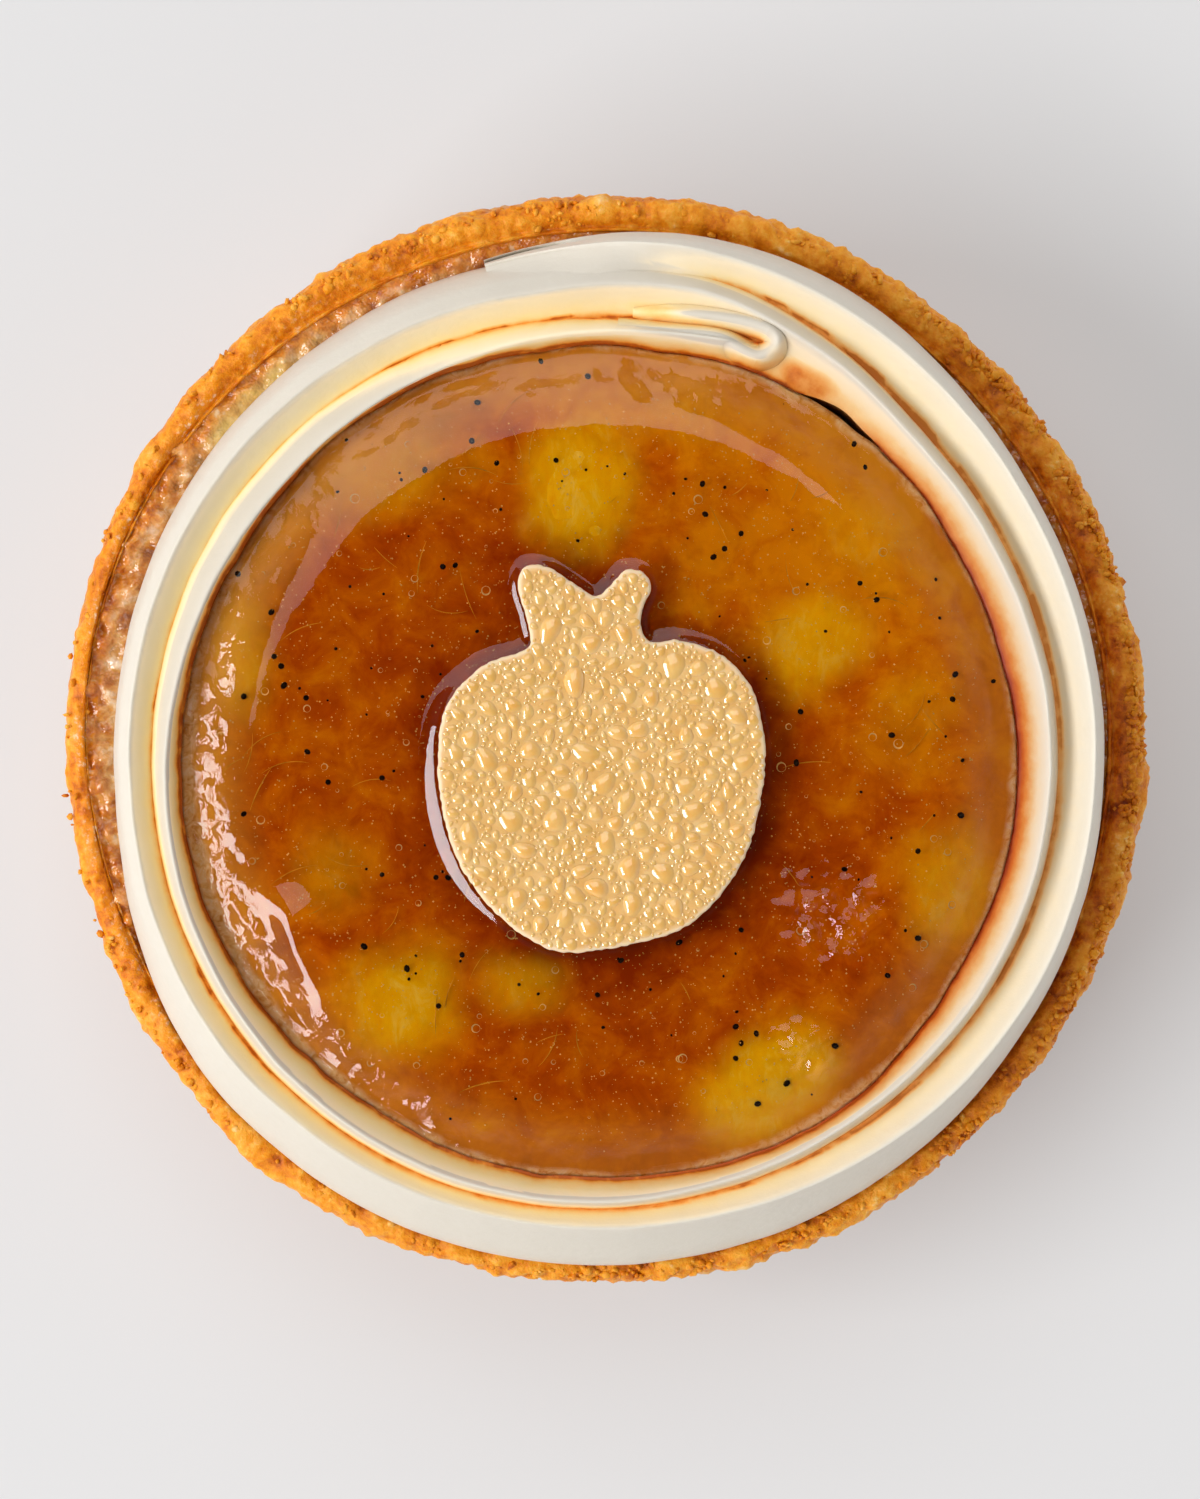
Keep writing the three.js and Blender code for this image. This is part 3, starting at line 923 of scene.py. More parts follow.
def ribbon_stretch(start, end):
    steps = round((end - start) / 0.75)
    angle, sections = ribbon_sections(np.linspace(start, end, steps + 1))
    count = sections.shape[1]
    radius, height = sections[..., 0], sections[..., 1]
    streak = np.column_stack([
        np.repeat(angle * 6, count),
        np.tile(np.arange(count) * 0.9, len(angle)),
        np.zeros(len(angle) * count),
    ])
    height = height + 0.02 * noise(streak, 1.0, 71).reshape(height.shape) * (np.arange(count) > 12)
    return tube_mesh("stretch", from_polar(angle[:, None], radius, height))


# The ribbon's start is folded back on itself. Its lip runs through these [degrees, radius, height] places.
FOLD_LINE = [
    [88, 29.75, 27.6],
    [80, 29.85, 27.95],
    [74, 30.25, 28.0],
    [70, 29.95, 27.95],
    [68.2, 29.95, 27.95],
    [66.9, 30.4, 28.0],
    [66.2, 31.15, 28.05],
    [66.9, 31.85, 28.1],
    [69.2, 32.05, 28.1],
    [74, 31.75, 27.95],
    [80, 31.35, 27.6],
    [86, 31.1, 26.6],
]
# Half its width at heights below its crest.
FOLD_SECTION = [[1.35, 4.6], [1.0, 1.8], [0.72, 1.0], [0.48, 0.48], [0.28, 0.17], [0.12, 0.03]]


def smooth_path(places, steps):
    """A smooth open curve through [x, y, z] places."""
    stations = np.arange(len(places))
    lines = [smooth_line(np.column_stack([stations, places[:, axis]])) for axis in range(3)]
    return np.column_stack([line(np.linspace(0, len(places) - 1, steps)) for line in lines])


def fold_mesh():
    """The thin hooked lip at the ribbon's start."""
    degrees, radius, height = np.array(FOLD_LINE, float).T
    path = smooth_path(from_polar(np.radians(degrees), radius, height), 160)
    across = left_of(np.gradient(path[:, :2], axis=0))
    half, fall = np.array(FOLD_SECTION).T
    sides = np.concatenate([half, [0], -half[::-1]])
    drops = np.concatenate([fall, [0], fall[::-1]])
    return tube_mesh("fold", np.stack([
        path[:, None, 0] + across[:, None, 0] * sides,
        path[:, None, 1] + across[:, None, 1] * sides,
        path[:, None, 2] - drops,
    ], axis=-1))


def united(meshes):
    """One mesh from closed meshes that overlap."""
    scene = bpy.context.scene
    things = [bpy.data.objects.new(f"part_{i}", mesh) for i, mesh in enumerate(meshes)]
    for thing in things:
        scene.collection.objects.link(thing)
    base = things[0]
    for other in things[1:]:
        join = base.modifiers.new("join", "BOOLEAN")
        join.operation = "UNION"
        join.solver = "MANIFOLD"
        join.object = other
    whole = bpy.data.meshes.new_from_object(base.evaluated_get(bpy.context.evaluated_depsgraph_get()))
    for thing in things:
        bpy.data.objects.remove(thing)
    return whole


def cream_piece():
    joints = [RIBBON_START, 300, 560, RIBBON_END]
    stretches = [ribbon_stretch(a, b) for a, b in zip(joints, joints[1:])]
    mesh = united(stretches + [fold_mesh()])
    mesh.name = "cream_ribbon"
    points = np.zeros(len(mesh.vertices) * 3)
    mesh.vertices.foreach_get("co", points)
    points = points.reshape(-1, 3) / MM
    # The depth mark is painted shade in the grooves and where the cream meets the jelly.
    depth, inner = groove_shade_share(points)
    mark(mesh, "depth", depth)
    mark(mesh, "inner", inner)
    # The right mark picks the right-hand copy of the painted light and shade.
    mark(mesh, "right", towards(polar(points)[0], 0, 120))
    shown(mesh, cream_material(), "cream", crease=50)


def groove_shade_share(points):
    """How deep in a groove each place on the cream is, from 0 to 1, which sets how much painted shade it
    gets, and whether it slopes to the jelly.
    """
    angle, radius = polar(points)
    degrees = np.mod(np.degrees(angle), 360)
    fall = np.clip(LIP_HEIGHT - points[:, 2], 0.02, 7)
    slope = -DIP_REACH * np.log(1 - np.clip(fall / RIBBON_DIP, 0, 0.97))
    share, inner = np.zeros(len(points)), np.zeros(len(points))
    inner_lip = jelly_side(np.radians(degrees))
    inner_wall = inner_lip
    inmost = np.ones(len(points), bool)
    for lap in range(3):
        # Beside the folded start the first turn's outer wall is painted with groove shade all the way up.
        wall_reach = mix(0.3, 1.2, (lap == 1) * ease(degrees, 66, 70) * (1 - ease(degrees, 100, 135)))
        turn = degrees + 360 * lap
        there = (turn >= RIBBON_START) & (turn <= RIBBON_END)
        lip = lip_radius(turn)
        opening = np.maximum(np.where(inmost, radius, lip - slope) - inner_wall, 0)
        between = there & (radius < lip - 0.05) & (inmost | (radius > inner_wall - 0.6))
        across = np.clip((lip - radius) / np.maximum(lip - inner_lip, 0.3), 0, 1)
        on_slope = inmost | (np.abs(radius - lip + slope) < np.abs(radius - inner_wall))
        steepness = np.where(inmost, 1.6, 1.2)
        sloping = 0.6 * across ** steepness + 0.4 * np.exp(-opening / 0.16)
        here = np.where(on_slope, sloping, np.exp(-opening / wall_reach))
        laid = ease(turn, TAIL_LAID, TAIL_LAID + 16)
        share = np.where(between, here * (1 - laid), share)
        inner = np.where(between & inmost, 1.0, inner)
        lean = mix(upper_lean(turn) * np.clip(fall / 2, 0, 1), whole_lean(turn), np.clip(fall / 9, 0, 1))
        inner_wall = np.where(there, lip + lean, inner_wall)
        inner_lip = np.where(there, lip, inner_lip)
        inmost = inmost & ~there
    # Under the hooked lip at the start the painted shade is held at a middle tan, and its crest is kept pale.
    by_fold = ease(degrees, 65, 66.5) * (1 - ease(degrees, 82, 92))
    by_fold = by_fold * ease(radius, 29.3, 29.7) * (1 - ease(radius, 32.2, 32.6))
    crest = ease(points[:, 2], 27.2, 27.7)
    hollow = (1 - crest) * ease(degrees, 67.4, 69) * ease(radius, 30.1, 30.3) * (1 - ease(radius, 31.6, 31.9))
    share = np.maximum(share * (1 - by_fold * crest), 0.5 * by_fold * hollow)
    # Painted brown shade beside the open gap to the jelly.
    gap_shade = (1 - ease(np.abs(degrees - GAP_SHADE_SIDE), 1.5, 7)) * (1 - ease(radius, *GAP_SHADE_FADES))
    share = np.maximum(share, 0.8 * gap_shade * inner)
    return share, inner * (1 - by_fold * hollow)


# ---------------------------------------------------------------- plaque outline
PLAQUE_OUTLINE = np.array([
    [-5.3, 8.3],
    [-5.5, 10.3],
    [-6.1, 12.6],
    [-5.5, 14.0],
    [-3.9, 13.9],
    [-1.5, 12.4],
    [-0.5, 11.8],
    [0.5, 12.5],
    [1.6, 13.7],
    [2.9, 13.6],
    [3.6, 12.6],
    [2.8, 10.2],
    [3.4, 8.6],
    [5.2, 8.7],
    [8.3, 7.8],
    [10.8, 5.2],
    [11.8, 0.8],
    [11.5, -3.0],
    [9.9, -7.9],
    [6.3, -11.9],
    [1.8, -13.4],
    [-3.4, -13.8],
    [-7.2, -11.5],
    [-10.2, -7.7],
    [-11.8, -1.8],
    [-11.3, 3.8],
    [-8.6, 6.8],
])


# The knots between which each pass over the curve blends neighbours, until one point is left.
KNOT_SPANS = (((0, 1), (1, 2), (2, 3)), ((0, 2), (1, 3)), ((1, 2),))


def plaque_outline(steps):
    """A closed centripetal Catmull-Rom curve through the outline's points, evenly stepped."""
    count = len(PLAQUE_OUTLINE)
    curve = []
    for i in range(count):
        p = [PLAQUE_OUTLINE[(i + k) % count] for k in (-1, 0, 1, 2)]
        knots = [0.0]
        for a, b in zip(p, p[1:]):
            knots.append(knots[-1] + math.sqrt(np.linalg.norm(b - a)))
        for t in np.linspace(knots[1], knots[2], 40, endpoint=False):
            level = p
            for spans in KNOT_SPANS:
                level = [
                    a * (knots[end] - t) / (knots[end] - knots[start])
                    + b * (t - knots[start]) / (knots[end] - knots[start])
                    for (start, end), a, b in zip(spans, level, level[1:])
                ]
            curve.append(level[0])
    curve = np.array(curve)
    around = np.vstack([curve, curve[:1]])
    travelled = np.concatenate([[0], np.cumsum(np.linalg.norm(np.diff(around, axis=0), axis=1))])
    places = np.linspace(0, travelled[-1], steps, endpoint=False)
    return np.column_stack([np.interp(places, travelled, around[:, k]) for k in (0, 1)])


def distance_outside(points, outline):
    """How far each [x, y] place is from a closed outline, negative inside it."""
    nearest = np.full(len(points), 1e9)
    crossings = np.zeros(len(points), int)
    for a, b in zip(outline, np.roll(outline, -1, axis=0)):
        step = b - a
        share = np.clip(((points - a) @ step) / (step @ step), 0, 1)
        gap = points - a - share[:, None] * step
        nearest = np.minimum(nearest, np.hypot(gap[:, 0], gap[:, 1]))
        passes = (a[1] > points[:, 1]) != (b[1] > points[:, 1])
        rise = step[1] if step[1] != 0 else 1e-9
        crossings += passes & (points[:, 0] < step[0] * (points[:, 1] - a[1]) / rise + a[0])
    return np.where(crossings % 2 == 1, -nearest, nearest)


# ---------------------------------------------------------------- jelly
# How far the jelly's edge stands out from its circle, by direction from its own middle.
edge_swell = smooth_line([
    [-180, 0.15],
    [-150, 0.0],
    [-112, -0.2],
    [-60, 0.3],
    [-30, 0.0],
    [-5, 0.1],
    [23, -0.35],
    [48, 0.15],
    [100, -0.2],
    [118, 0.0],
    [145, -0.1],
    [180, 0.15],
])
# How far its top has fallen below the middle, by the share of the radius.
crown_fall = smooth_line([
    [0.0, 0.0],
    [0.70, 0.0],
    [0.80, 0.03],
    [0.835, 0.14],
    [0.86, 0.32],
    [0.90, 0.76],
    [0.945, 1.32],
    [0.975, 1.58],
    [1.0, 1.85],
])
# The jelly's rise at the plaque's side, as a share of how far out it starts: on the left and elsewhere.
MENISCUS_SLOPE = 0.42
MENISCUS_LEFT = 1.4
MENISCUS_ELSEWHERE = 0.6
# Where the skin is crumpled and sparkles: the middles of these places and how far they reach.
SPARKLING = [[16.6, -12.6, 5.5], [14.2, -22.3, 3.2]]
# A low ridge in the skin at the lower left, which carries a second highlight: its turns and radii.
RIDGE_START = (206, 24.7)
RIDGE_END = (229, 27.6)
RIDGE_WIDTH = 1.5
RIDGE_HEIGHTS = (0.5, 0.14)


def sparkle_share(xy):
    """Where the jelly's skin is crumpled."""
    away = [np.hypot(xy[:, 0] - x, xy[:, 1] - y) / reach for x, y, reach in SPARKLING]
    return 1 - ease(np.min(away, axis=0), 0.3, 1.0)


def wrinkle_share(xy):
    """Where the jelly's skin is wrinkled: along its edge, most at the lower left, and where it sparkles."""
    angle, radius = polar(xy, JELLY_CENTRE)
    rim = ease(radius / JELLY_RADIUS, 0.865, 0.925) * (0.35 + 0.65 * towards(angle, 205, 85))
    return np.clip(rim + sparkle_share(xy), 0, 1)


def jelly_height(xy):
    """The height of the jelly's top over [x, y] places well inside its edge."""
    angle, radius = polar(xy, JELLY_CENTRE)
    share = np.clip(radius / JELLY_RADIUS, 0, 1)
    outside = distance_outside(xy - PLAQUE_CENTRE, plaque_outline(220))
    # The jelly rises to the plaque in an even slope with a soft foot.
    reach = mix(MENISCUS_ELSEWHERE, MENISCUS_LEFT, towards(angle, 192, 85))
    slope = np.logaddexp(0, (1 - np.maximum(outside, 0) / reach) * 9) / 9
    rise = MENISCUS_SLOPE * reach * slope * ease(outside, -1.2, -0.5)
    swell = 0.08 * fractal(flat(xy), 9.0, 81, 2) + 0.014 * fractal(flat(xy), 2.4, 83)
    crease = 0.2 * (0.5 - np.abs(fractal(flat(xy), 2.8, 85, 2))) + 0.15 * fractal(flat(xy), 1.1, 87, 2)
    along = np.column_stack([angle * 8, share * JELLY_RADIUS / 0.7, 0 * angle])
    film = 0.05 * (0.5 - np.abs(fractal(along, 1.0, 89, 2))) * ease(share, 0.86, 0.97)
    degrees = np.mod(np.degrees(angle), 360)
    crest = np.interp(degrees, *zip(RIDGE_START, RIDGE_END))
    ridge = np.interp(degrees, (RIDGE_START[0], RIDGE_END[0]), RIDGE_HEIGHTS)
    ridge = ridge * np.exp(-((share * JELLY_RADIUS - crest) / RIDGE_WIDTH) ** 2)
    ridge = ridge * ease(degrees, RIDGE_START[0] - 6, RIDGE_START[0] + 2)
    ridge = ridge * (1 - ease(degrees, RIDGE_END[0] - 3, RIDGE_END[0] + 4))
    crumple = 0.24 * sparkle_share(xy) * noise(flat(xy), 0.6, 93)
    surface = JELLY_TOP - crown_fall(share) + rise + film + ridge + crumple
    return surface + swell * ease(outside, 0, 2) + crease * wrinkle_share(xy)


def edge_bulge(angle):
    """How far the jelly's edge stands out from its circle."""
    degrees = np.degrees(np.mod(angle + math.pi, 2 * math.pi) - math.pi)
    return edge_swell(degrees) + 0.14 * unevenness(angle, 36, 90) + 0.08 * unevenness(angle, 110, 91)


def crowned_disc(radius, rows, steps, height_of, sides):
    """A closed disc about the jelly's middle. Its sides are [share of the radius, height] rows."""
    angle = np.arange(steps) / steps * 2 * math.pi
    bulge = edge_bulge(angle)
    facing = np.column_stack([np.cos(angle), np.sin(angle)])
    places = rows[None, :, None] * facing[:, None, :]
    spread = 1 + bulge[:, None] / radius * (rows / radius) ** 3
    height = height_of((places + JELLY_CENTRE).reshape(-1, 2)).reshape(steps, -1)
    top = np.dstack([places * spread[..., None] + JELLY_CENTRE, height])
    edge = (radius + bulge)[:, None] * facing
    walls = np.stack([flat(edge * share + JELLY_CENTRE, level) for share, level in sides], axis=1)
    columns = len(rows) + len(sides)
    points = np.concatenate([top, walls], axis=1).reshape(-1, 3)
    faces = grid_faces(steps, columns, closed_rows=True).tolist()
    middle = len(points)
    for i in range(steps):
        here, following = i * columns, ((i + 1) % steps) * columns
        faces.append([middle, here, following])
        faces.append([middle + 1, following + columns - 1, here + columns - 1])
    crest = height_of(JELLY_CENTRE[None, :])[0]
    points = np.vstack([points, [*JELLY_CENTRE, crest], [*JELLY_CENTRE, sides[-1][1]]])
    return points, faces


def jelly_shell():
    rows = np.concatenate([
        np.arange(0.25, 27.0, 0.27),
        np.arange(27.0, 29.6, 0.2),
        np.arange(29.6, 30.45, 0.1),
    ])
    sides = [(1.0, 24.2), (1.0, 23.0), (1.0, 21.5), (0.995, 20.0), (0.985, 19.3), (0.95, CREAM_BASE)]
    points, faces = crowned_disc(JELLY_RADIUS, rows, JELLY_STEPS, jelly_height, sides)
    mesh = mesh_of("jelly_clear", points, faces, {"wrinkled": wrinkle_share(points[:, :2])})
    shown(mesh, jelly_material(), "jelly")


# Pieces of fruit in the jelly: middle, half length, half width, turn, how clearly they show, softness.
FRUIT = [
    [-1.7, 18.1, 5.0, 4.1, 80, 0.85, 0.5],
    [15.4, 6.8, 4.0, 3.5, 30, 0.7, 0.6],
    [-14.7, -18.9, 4.6, 3.9, 20, 0.8, 0.7],
    [-6.0, -17.8, 3.4, 2.3, 0, 0.55, 0.8],
    [12.1, -25.0, 6.0, 3.8, 35, 0.86, 0.45],
    [25.0, -10.9, 3.2, 4.6, 0, 0.55, 0.7],
    [-26.5, 6.1, 2.2, 4.6, 10, 0.6, 0.8],
    [-15.1, 19.2, 5.0, 3.0, 20, 0.45, 0.8],
    [-19.8, -9.5, 3.0, 3.2, 0, 0.35, 0.8],
    [18.6, 14.4, 4.5, 3.4, -30, 0.32, 0.8],
    [3.4, 23.5, 6.0, 2.0, 0, 0.3, 0.9],
    [22.5, 1.5, 4.0, 3.0, 60, 0.25, 0.8],
]
# Which of them reach up to the clear top.
NEAR_SURFACE = (0, 4)


def fruit_share(xy):
    """How much of the fruit's yellow shows at [x, y] places."""
    total = np.zeros(len(xy))
    wobble = 0.22 * fractal(flat(xy), 3.0, 101)
    for x, y, length, width, degrees, strength, softness in FRUIT:
        c, s = math.cos(math.radians(degrees)), math.sin(math.radians(degrees))
        off = xy - np.array([x, y])
        u = (off[:, 0] * c + off[:, 1] * s) / length
        v = (off[:, 1] * c - off[:, 0] * s) / width
        reach = (np.abs(u) ** 2.6 + np.abs(v) ** 2.6) ** (1 / 2.6) + wobble
        total = np.maximum(total, strength * (1 - ease(reach, 1 - softness, 1 + 0.6 * softness)))
    return total


PULP_RADIUS = JELLY_RADIUS - 0.12


def pulp_height(xy):
    """The height of the cloudy fruit pulp under the clear top."""
    share = polar(xy, JELLY_CENTRE)[1] / JELLY_RADIUS
    depth = mix(1.3, 0.14, ease(share, 0.80, 0.95))
    lumps = 0.35 * fractal(flat(xy), 3.5, 105) + 0.45 * fruit_share(xy)
    return JELLY_TOP - crown_fall(share) - depth + lumps * (1 - ease(share, 0.80, 0.93))


def jelly_core():
    rows = np.concatenate([np.arange(0.3, 28.0, 0.3), np.arange(28.0, 30.3, 0.15)])
    sides = [(1.0, 23.8), (1.0, 22.0), (0.99, 20.4), (0.96, CREAM_BASE + 0.3)]
    points, faces = crowned_disc(PULP_RADIUS, rows, PULP_STEPS, pulp_height, sides)
    angle, radius = polar(points, JELLY_CENTRE)
    share = radius / PULP_RADIUS
    outside = distance_outside(points[:, :2] - PLAQUE_CENTRE, plaque_outline(120))
    film_start = mix(0.977, 0.955, towards(angle, 200, 75)) + 0.012 * fractal(flat(points[:, :2]), 1.5, 109)
    marks = {
        "fruit": fruit_share(points[:, :2]) * ease(points[:, 2], 22, 24),
        "edge": ease(share, 0.78, 0.95) * mix(0.4, 1.0, towards(angle, 150, 120)),
        # The edge skin, painted pale as a painted reflection.
        "film": 0.85 * ease(share - film_start, 0, 0.02),
        "tone": 0.9 * towards(angle, 50, 75) - 1.1 * np.exp(-np.maximum(outside, 0) / 2.2),
    }
    mesh = mesh_of("jelly_pulp", points, faces, marks)
    shown(mesh, pulp_material())


# ---------------------------------------------------------------- what floats in the jelly
def ball(rings, segments):
    """A unit ball, as points and faces."""
    points = [[0, 0, 1]]
    for i in range(1, rings):
        tilt = math.pi * i / rings
        for j in range(segments):
            turn = 2 * math.pi * j / segments
            points.append([math.sin(tilt) * math.cos(turn), math.sin(tilt) * math.sin(turn), math.cos(tilt)])
    points.append([0, 0, -1])
    return np.array(points, float), capped_faces(rings - 1, segments)


def copies(name, unit, places, sizes, turns=None):
    """One mesh of many copies of a unit shape, each with its own place, [x, y, z] size and turn."""
    unit_points, unit_faces = unit
    points, faces = [], []
    for i, (place, size) in enumerate(zip(places, sizes)):
        copy = unit_points * size
        if turns is not None:
            copy = turned_by(copy, turns[i])
        points.append(copy + place)
        faces += [[k + i * len(unit_points) for k in face] for face in unit_faces]
    return mesh_of(name, np.vstack(points), faces)


SMALL_SEED_COUNT = 70
BUBBLE_COUNT = 150
SPECK_COUNT = 5200
FIBRE_COUNT = 46
# A little over a full turn, in radians.
ANY_TURN = 6.3


def strewn(count, seed, depth_low, depth_high, keep_off=0.4, reach=0.93):
    """Random places under the jelly's surface, clear of the plaque, and their depths."""
    draw = np.random.default_rng(seed)
    xy = np.zeros((0, 2))
    outline = plaque_outline(120)
    while len(xy) < count:
        radius = JELLY_RADIUS * reach * np.sqrt(draw.random(count))
        turn = draw.random(count) * 2 * math.pi
        more = np.column_stack([radius * np.cos(turn), radius * np.sin(turn)]) + JELLY_CENTRE
        more = more[distance_outside(more - PLAQUE_CENTRE, outline) > keep_off]
        xy = np.vstack([xy, more])[:count]
    depth = mix(depth_low, depth_high, draw.random(count))
    return np.column_stack([xy, jelly_height(xy) - depth]), draw


# Where the larger vanilla seeds lie, as listed [x, y] places.
SEED_PLACES = np.array([
    [-4.5, 27.4], [-3.4, 20.2], [-12.9, 19.5], [-7.7, 20.0], [7.2, 18.5], [9.8, 25.3], [10.0, 14.9],
    [8.8, 13.8], [8.0, 13.2], [19.8, 10.1], [-11.6, 12.5], [-10.7, 12.6], [-23.8, 6.0], [-26.0, -5.4],
    [-17.3, -15.0], [-11.2, -10.0], [-12.1, -10.0], [-10.2, -15.6], [1.3, -16.0], [5.5, -14.7],
    [10.0, -13.8], [13.3, -24.9], [11.2, -26.4], [10.0, -22.0], [14.0, -1.7], [17.5, -9.4], [22.8, -8.1],
    [22.8, -14.4], [20.6, -17.1], [9.6, -20.8], [11.1, -21.3], [9.6, -23.1], [16.8, -22.2],
    [15.1, -25.7], [25.9, -5.5], [13.1, 24.3], [18.2, 21.4], [7.4, 16.3], [19.0, 19.7], [18.6, 11.3],
    [25.5, 4.7], [28.3, 4.2], [25.3, 2.9], [14.3, 2.0], [20.9, 0.3], [-1.1, 26.3], [-9.1, 24.4],
    [-18.6, 21.7], [-9.5, 21.6], [-26.5, 12.0], [-24.0, 9.2], [-23.3, 5.3], [-26.0, 3.1], [-21.5, 3.0],
    [-23.1, 3.9], [-21.4, -0.9], [-16.0, -2.8], [-19.9, -3.1], [-16.0, -9.8], [-14.2, -16.6],
    [-11.9, -19.3], [-0.4, -18.5],
])


def vanilla_seeds():
    large = np.column_stack([SEED_PLACES, jelly_height(SEED_PLACES) - 0.35])
    small, draw = strewn(SMALL_SEED_COUNT, 201, 0.2, 0.8)
    places = np.vstack([large, small])
    count = len(places)
    size = np.where(np.arange(count) < len(large), 0.2, 0.09) + 0.05 * draw.random(count)
    sizes = np.column_stack([size * mix(1.0, 1.35, draw.random(count)), size, size])
    mesh = copies("vanilla_seeds", ball(5, 7), places, sizes, draw.random(count) * ANY_TURN)
    shown(mesh, speck_material("vanilla", colour(26, 14, 8), 0.4))


def ring(thickness, steps, sides):
    """A unit ring in the XY plane, thicker on one side, as points and faces."""
    turn = np.arange(steps) / steps * 2 * math.pi
    around = np.arange(sides) / sides * 2 * math.pi
    thick = thickness * (1 + 0.7 * np.cos(turn))[:, None]
    out = 1 + thick * np.cos(around)
    height = thick * np.sin(around)
    points = np.stack([out * np.cos(turn)[:, None], out * np.sin(turn)[:, None], height], axis=-1)
    faces = grid_faces(steps, sides, closed_rows=True, closed_columns=True)
    return points.reshape(-1, 3), faces.tolist()


def painted_bubble_rims():
    """Painted highlights: bright pale rings that stand for the lit rims of bubbles inside the jelly."""
    places, draw = strewn(BUBBLE_COUNT, 207, 0.2, 0.5)
    size = mix(0.08, 0.34, draw.random(BUBBLE_COUNT) ** 2.6)
    turns = draw.random(BUBBLE_COUNT) * ANY_TURN
    mesh = copies("painted_bubble_rims", ring(0.11, 20, 6), places, np.column_stack([size, size, size]), turns)
    shown(mesh, speck_material("bubble_rim_light", colour(255, 214, 130), 0.3))


def bubble_sparkle_specks():
    # Tiny pale gold specks: painted glints that stand for the sparkle of fine bubbles.
    places, draw = strewn(SPECK_COUNT, 211, 0.12, 0.75, keep_off=0.1)
    size = mix(0.03, 0.095, draw.random(SPECK_COUNT) ** 2)
    mesh = copies("bubble_sparkle_specks", ball(3, 4), places, np.column_stack([size, size, size]))
    shown(mesh, speck_material("painted_sparkle", colour(252, 206, 110), 0.35))


def fibres():
    """Thin pale strands of fruit, each a short bent thread."""
    starts, draw = strewn(FIBRE_COUNT, 217, 0.5, 1.1, keep_off=1.0, reach=0.85)
    points, faces = [], []
    steps, sides = 9, 5
    for start in starts:
        heading = draw.random() * 2 * math.pi
        bend = (draw.random() - 0.5) * 0.25
        length = mix(1.5, 4.5, draw.random())
        thick = mix(0.03, 0.055, draw.random())
        spot = np.array(start)
        base = len(points)
        for k in range(steps):
            taper = thick * math.sin(math.pi * (k + 0.6) / (steps + 0.2))
            across = np.array([-math.sin(heading), math.cos(heading), 0.0])
            for j in range(sides):
                turn = 2 * math.pi * j / sides
                rise = np.array([0, 0, taper * math.sin(turn)])
                points.append(spot + across * taper * math.cos(turn) + rise)
            spot = spot + np.array([math.cos(heading), math.sin(heading), 0]) * length / steps
            heading += bend
        faces += (base + grid_faces(steps, sides, closed_columns=True)).tolist()
        faces.append([base + j for j in range(sides)][::-1])
        faces.append([base + (steps - 1) * sides + j for j in range(sides)])
    mesh = mesh_of("fruit_fibres", points, faces)
    shown(mesh, speck_material("fibre", colour(240, 170, 40), 0.5))


def fruit_chunks():
    """The two pieces of fruit that lie right under the surface."""
    points, faces = [], []
    unit_points, unit_faces = ball(24, 40)
    for index in NEAR_SURFACE:
        x, y, length, width, degrees = FRUIT[index][:5]
        shape = np.sign(unit_points) * np.abs(unit_points) ** 0.7
        shape = shape * [length * 0.8, width * 0.8, 1.5]
        shape[:, 2] = np.maximum(shape[:, 2], -1.2)
        rough = fractal(shape + 40 * index, 3.0, 301 + index)
        shape = shape * (1 + 0.10 * rough[:, None])
        shape = turned_by(shape, math.radians(degrees))
        surface = jelly_height(np.array([[x, y]]))[0]
        base = len(points)
        points += (shape + [x, y, surface - 2.3]).tolist()
        faces += [[k + base for k in face] for face in unit_faces]
    mesh = mesh_of("fruit_chunks", points, faces)
    shown(mesh, fruit_material())


# ---------------------------------------------------------------- plaque
def plaque_piece():
    outline = plaque_outline(420)
    inward = left_of(np.roll(outline, -1, axis=0) - np.roll(outline, 1, axis=0))
    inward = inward * (1 if distance_outside(outline[:1] + 0.05 * inward[:1], outline)[0] < 0 else -1)
    ragged = 0.06 * fractal(flat(outline), 0.9, 401) + 0.06 * noise(flat(outline), 0.35, 405)
    # Each ring: how far inside the outline, its height, and how pale it is.
    rings = [
        (0.30, 0.0, 0.0),
        (0.06, 0.03, 0.2),
        (0.0, 0.35, 0.4),
        (0.0, PLAQUE_THICKNESS - 0.35, 0.8),
        (0.05, PLAQUE_THICKNESS - 0.12, 1.0),
        (0.16, PLAQUE_THICKNESS - 0.02, 0.9),
        (0.32, PLAQUE_THICKNESS, 0.35),
        (0.55, PLAQUE_THICKNESS, 0.0),
    ]
    points = np.vstack([
        flat(outline + inward * (inset + np.maximum(ragged, -0.05) + 0.03)[:, None], height)
        for inset, height, _ in rings
    ])
    pale = np.repeat([paleness for _, _, paleness in rings], len(outline))
    points = points + [*PLAQUE_CENTRE, PLAQUE_BASE]
    faces = grid_faces(len(rings), len(outline), closed_columns=True).tolist()
    faces.append(list(range(len(outline)))[::-1])
    faces.append([len(points) - len(outline) + i for i in range(len(outline))])
    mesh = mesh_of("plaque_plate", points, faces, {"edge": pale})
    shown(mesh, plaque_material(), "plaque", crease=60)


# Half the width and half the length of the field in which beads are tried.
BEAD_FIELD = (12, 14)
# How many beads the solid has, and the radius of its first and about that of its last.
SOLID_BEADS = 90
SOLID_BEAD_RADII = (0.95, 0.5)
# The finer beads: how many are tried, and the smallest and the largest radius.
FINER_BEADS = [[2500, 0.34, 0.50], [5000, 0.22, 0.34], [16000, 0.11, 0.22]]
# How far the beads reach down into the plate.
BEAD_SINK = 0.04


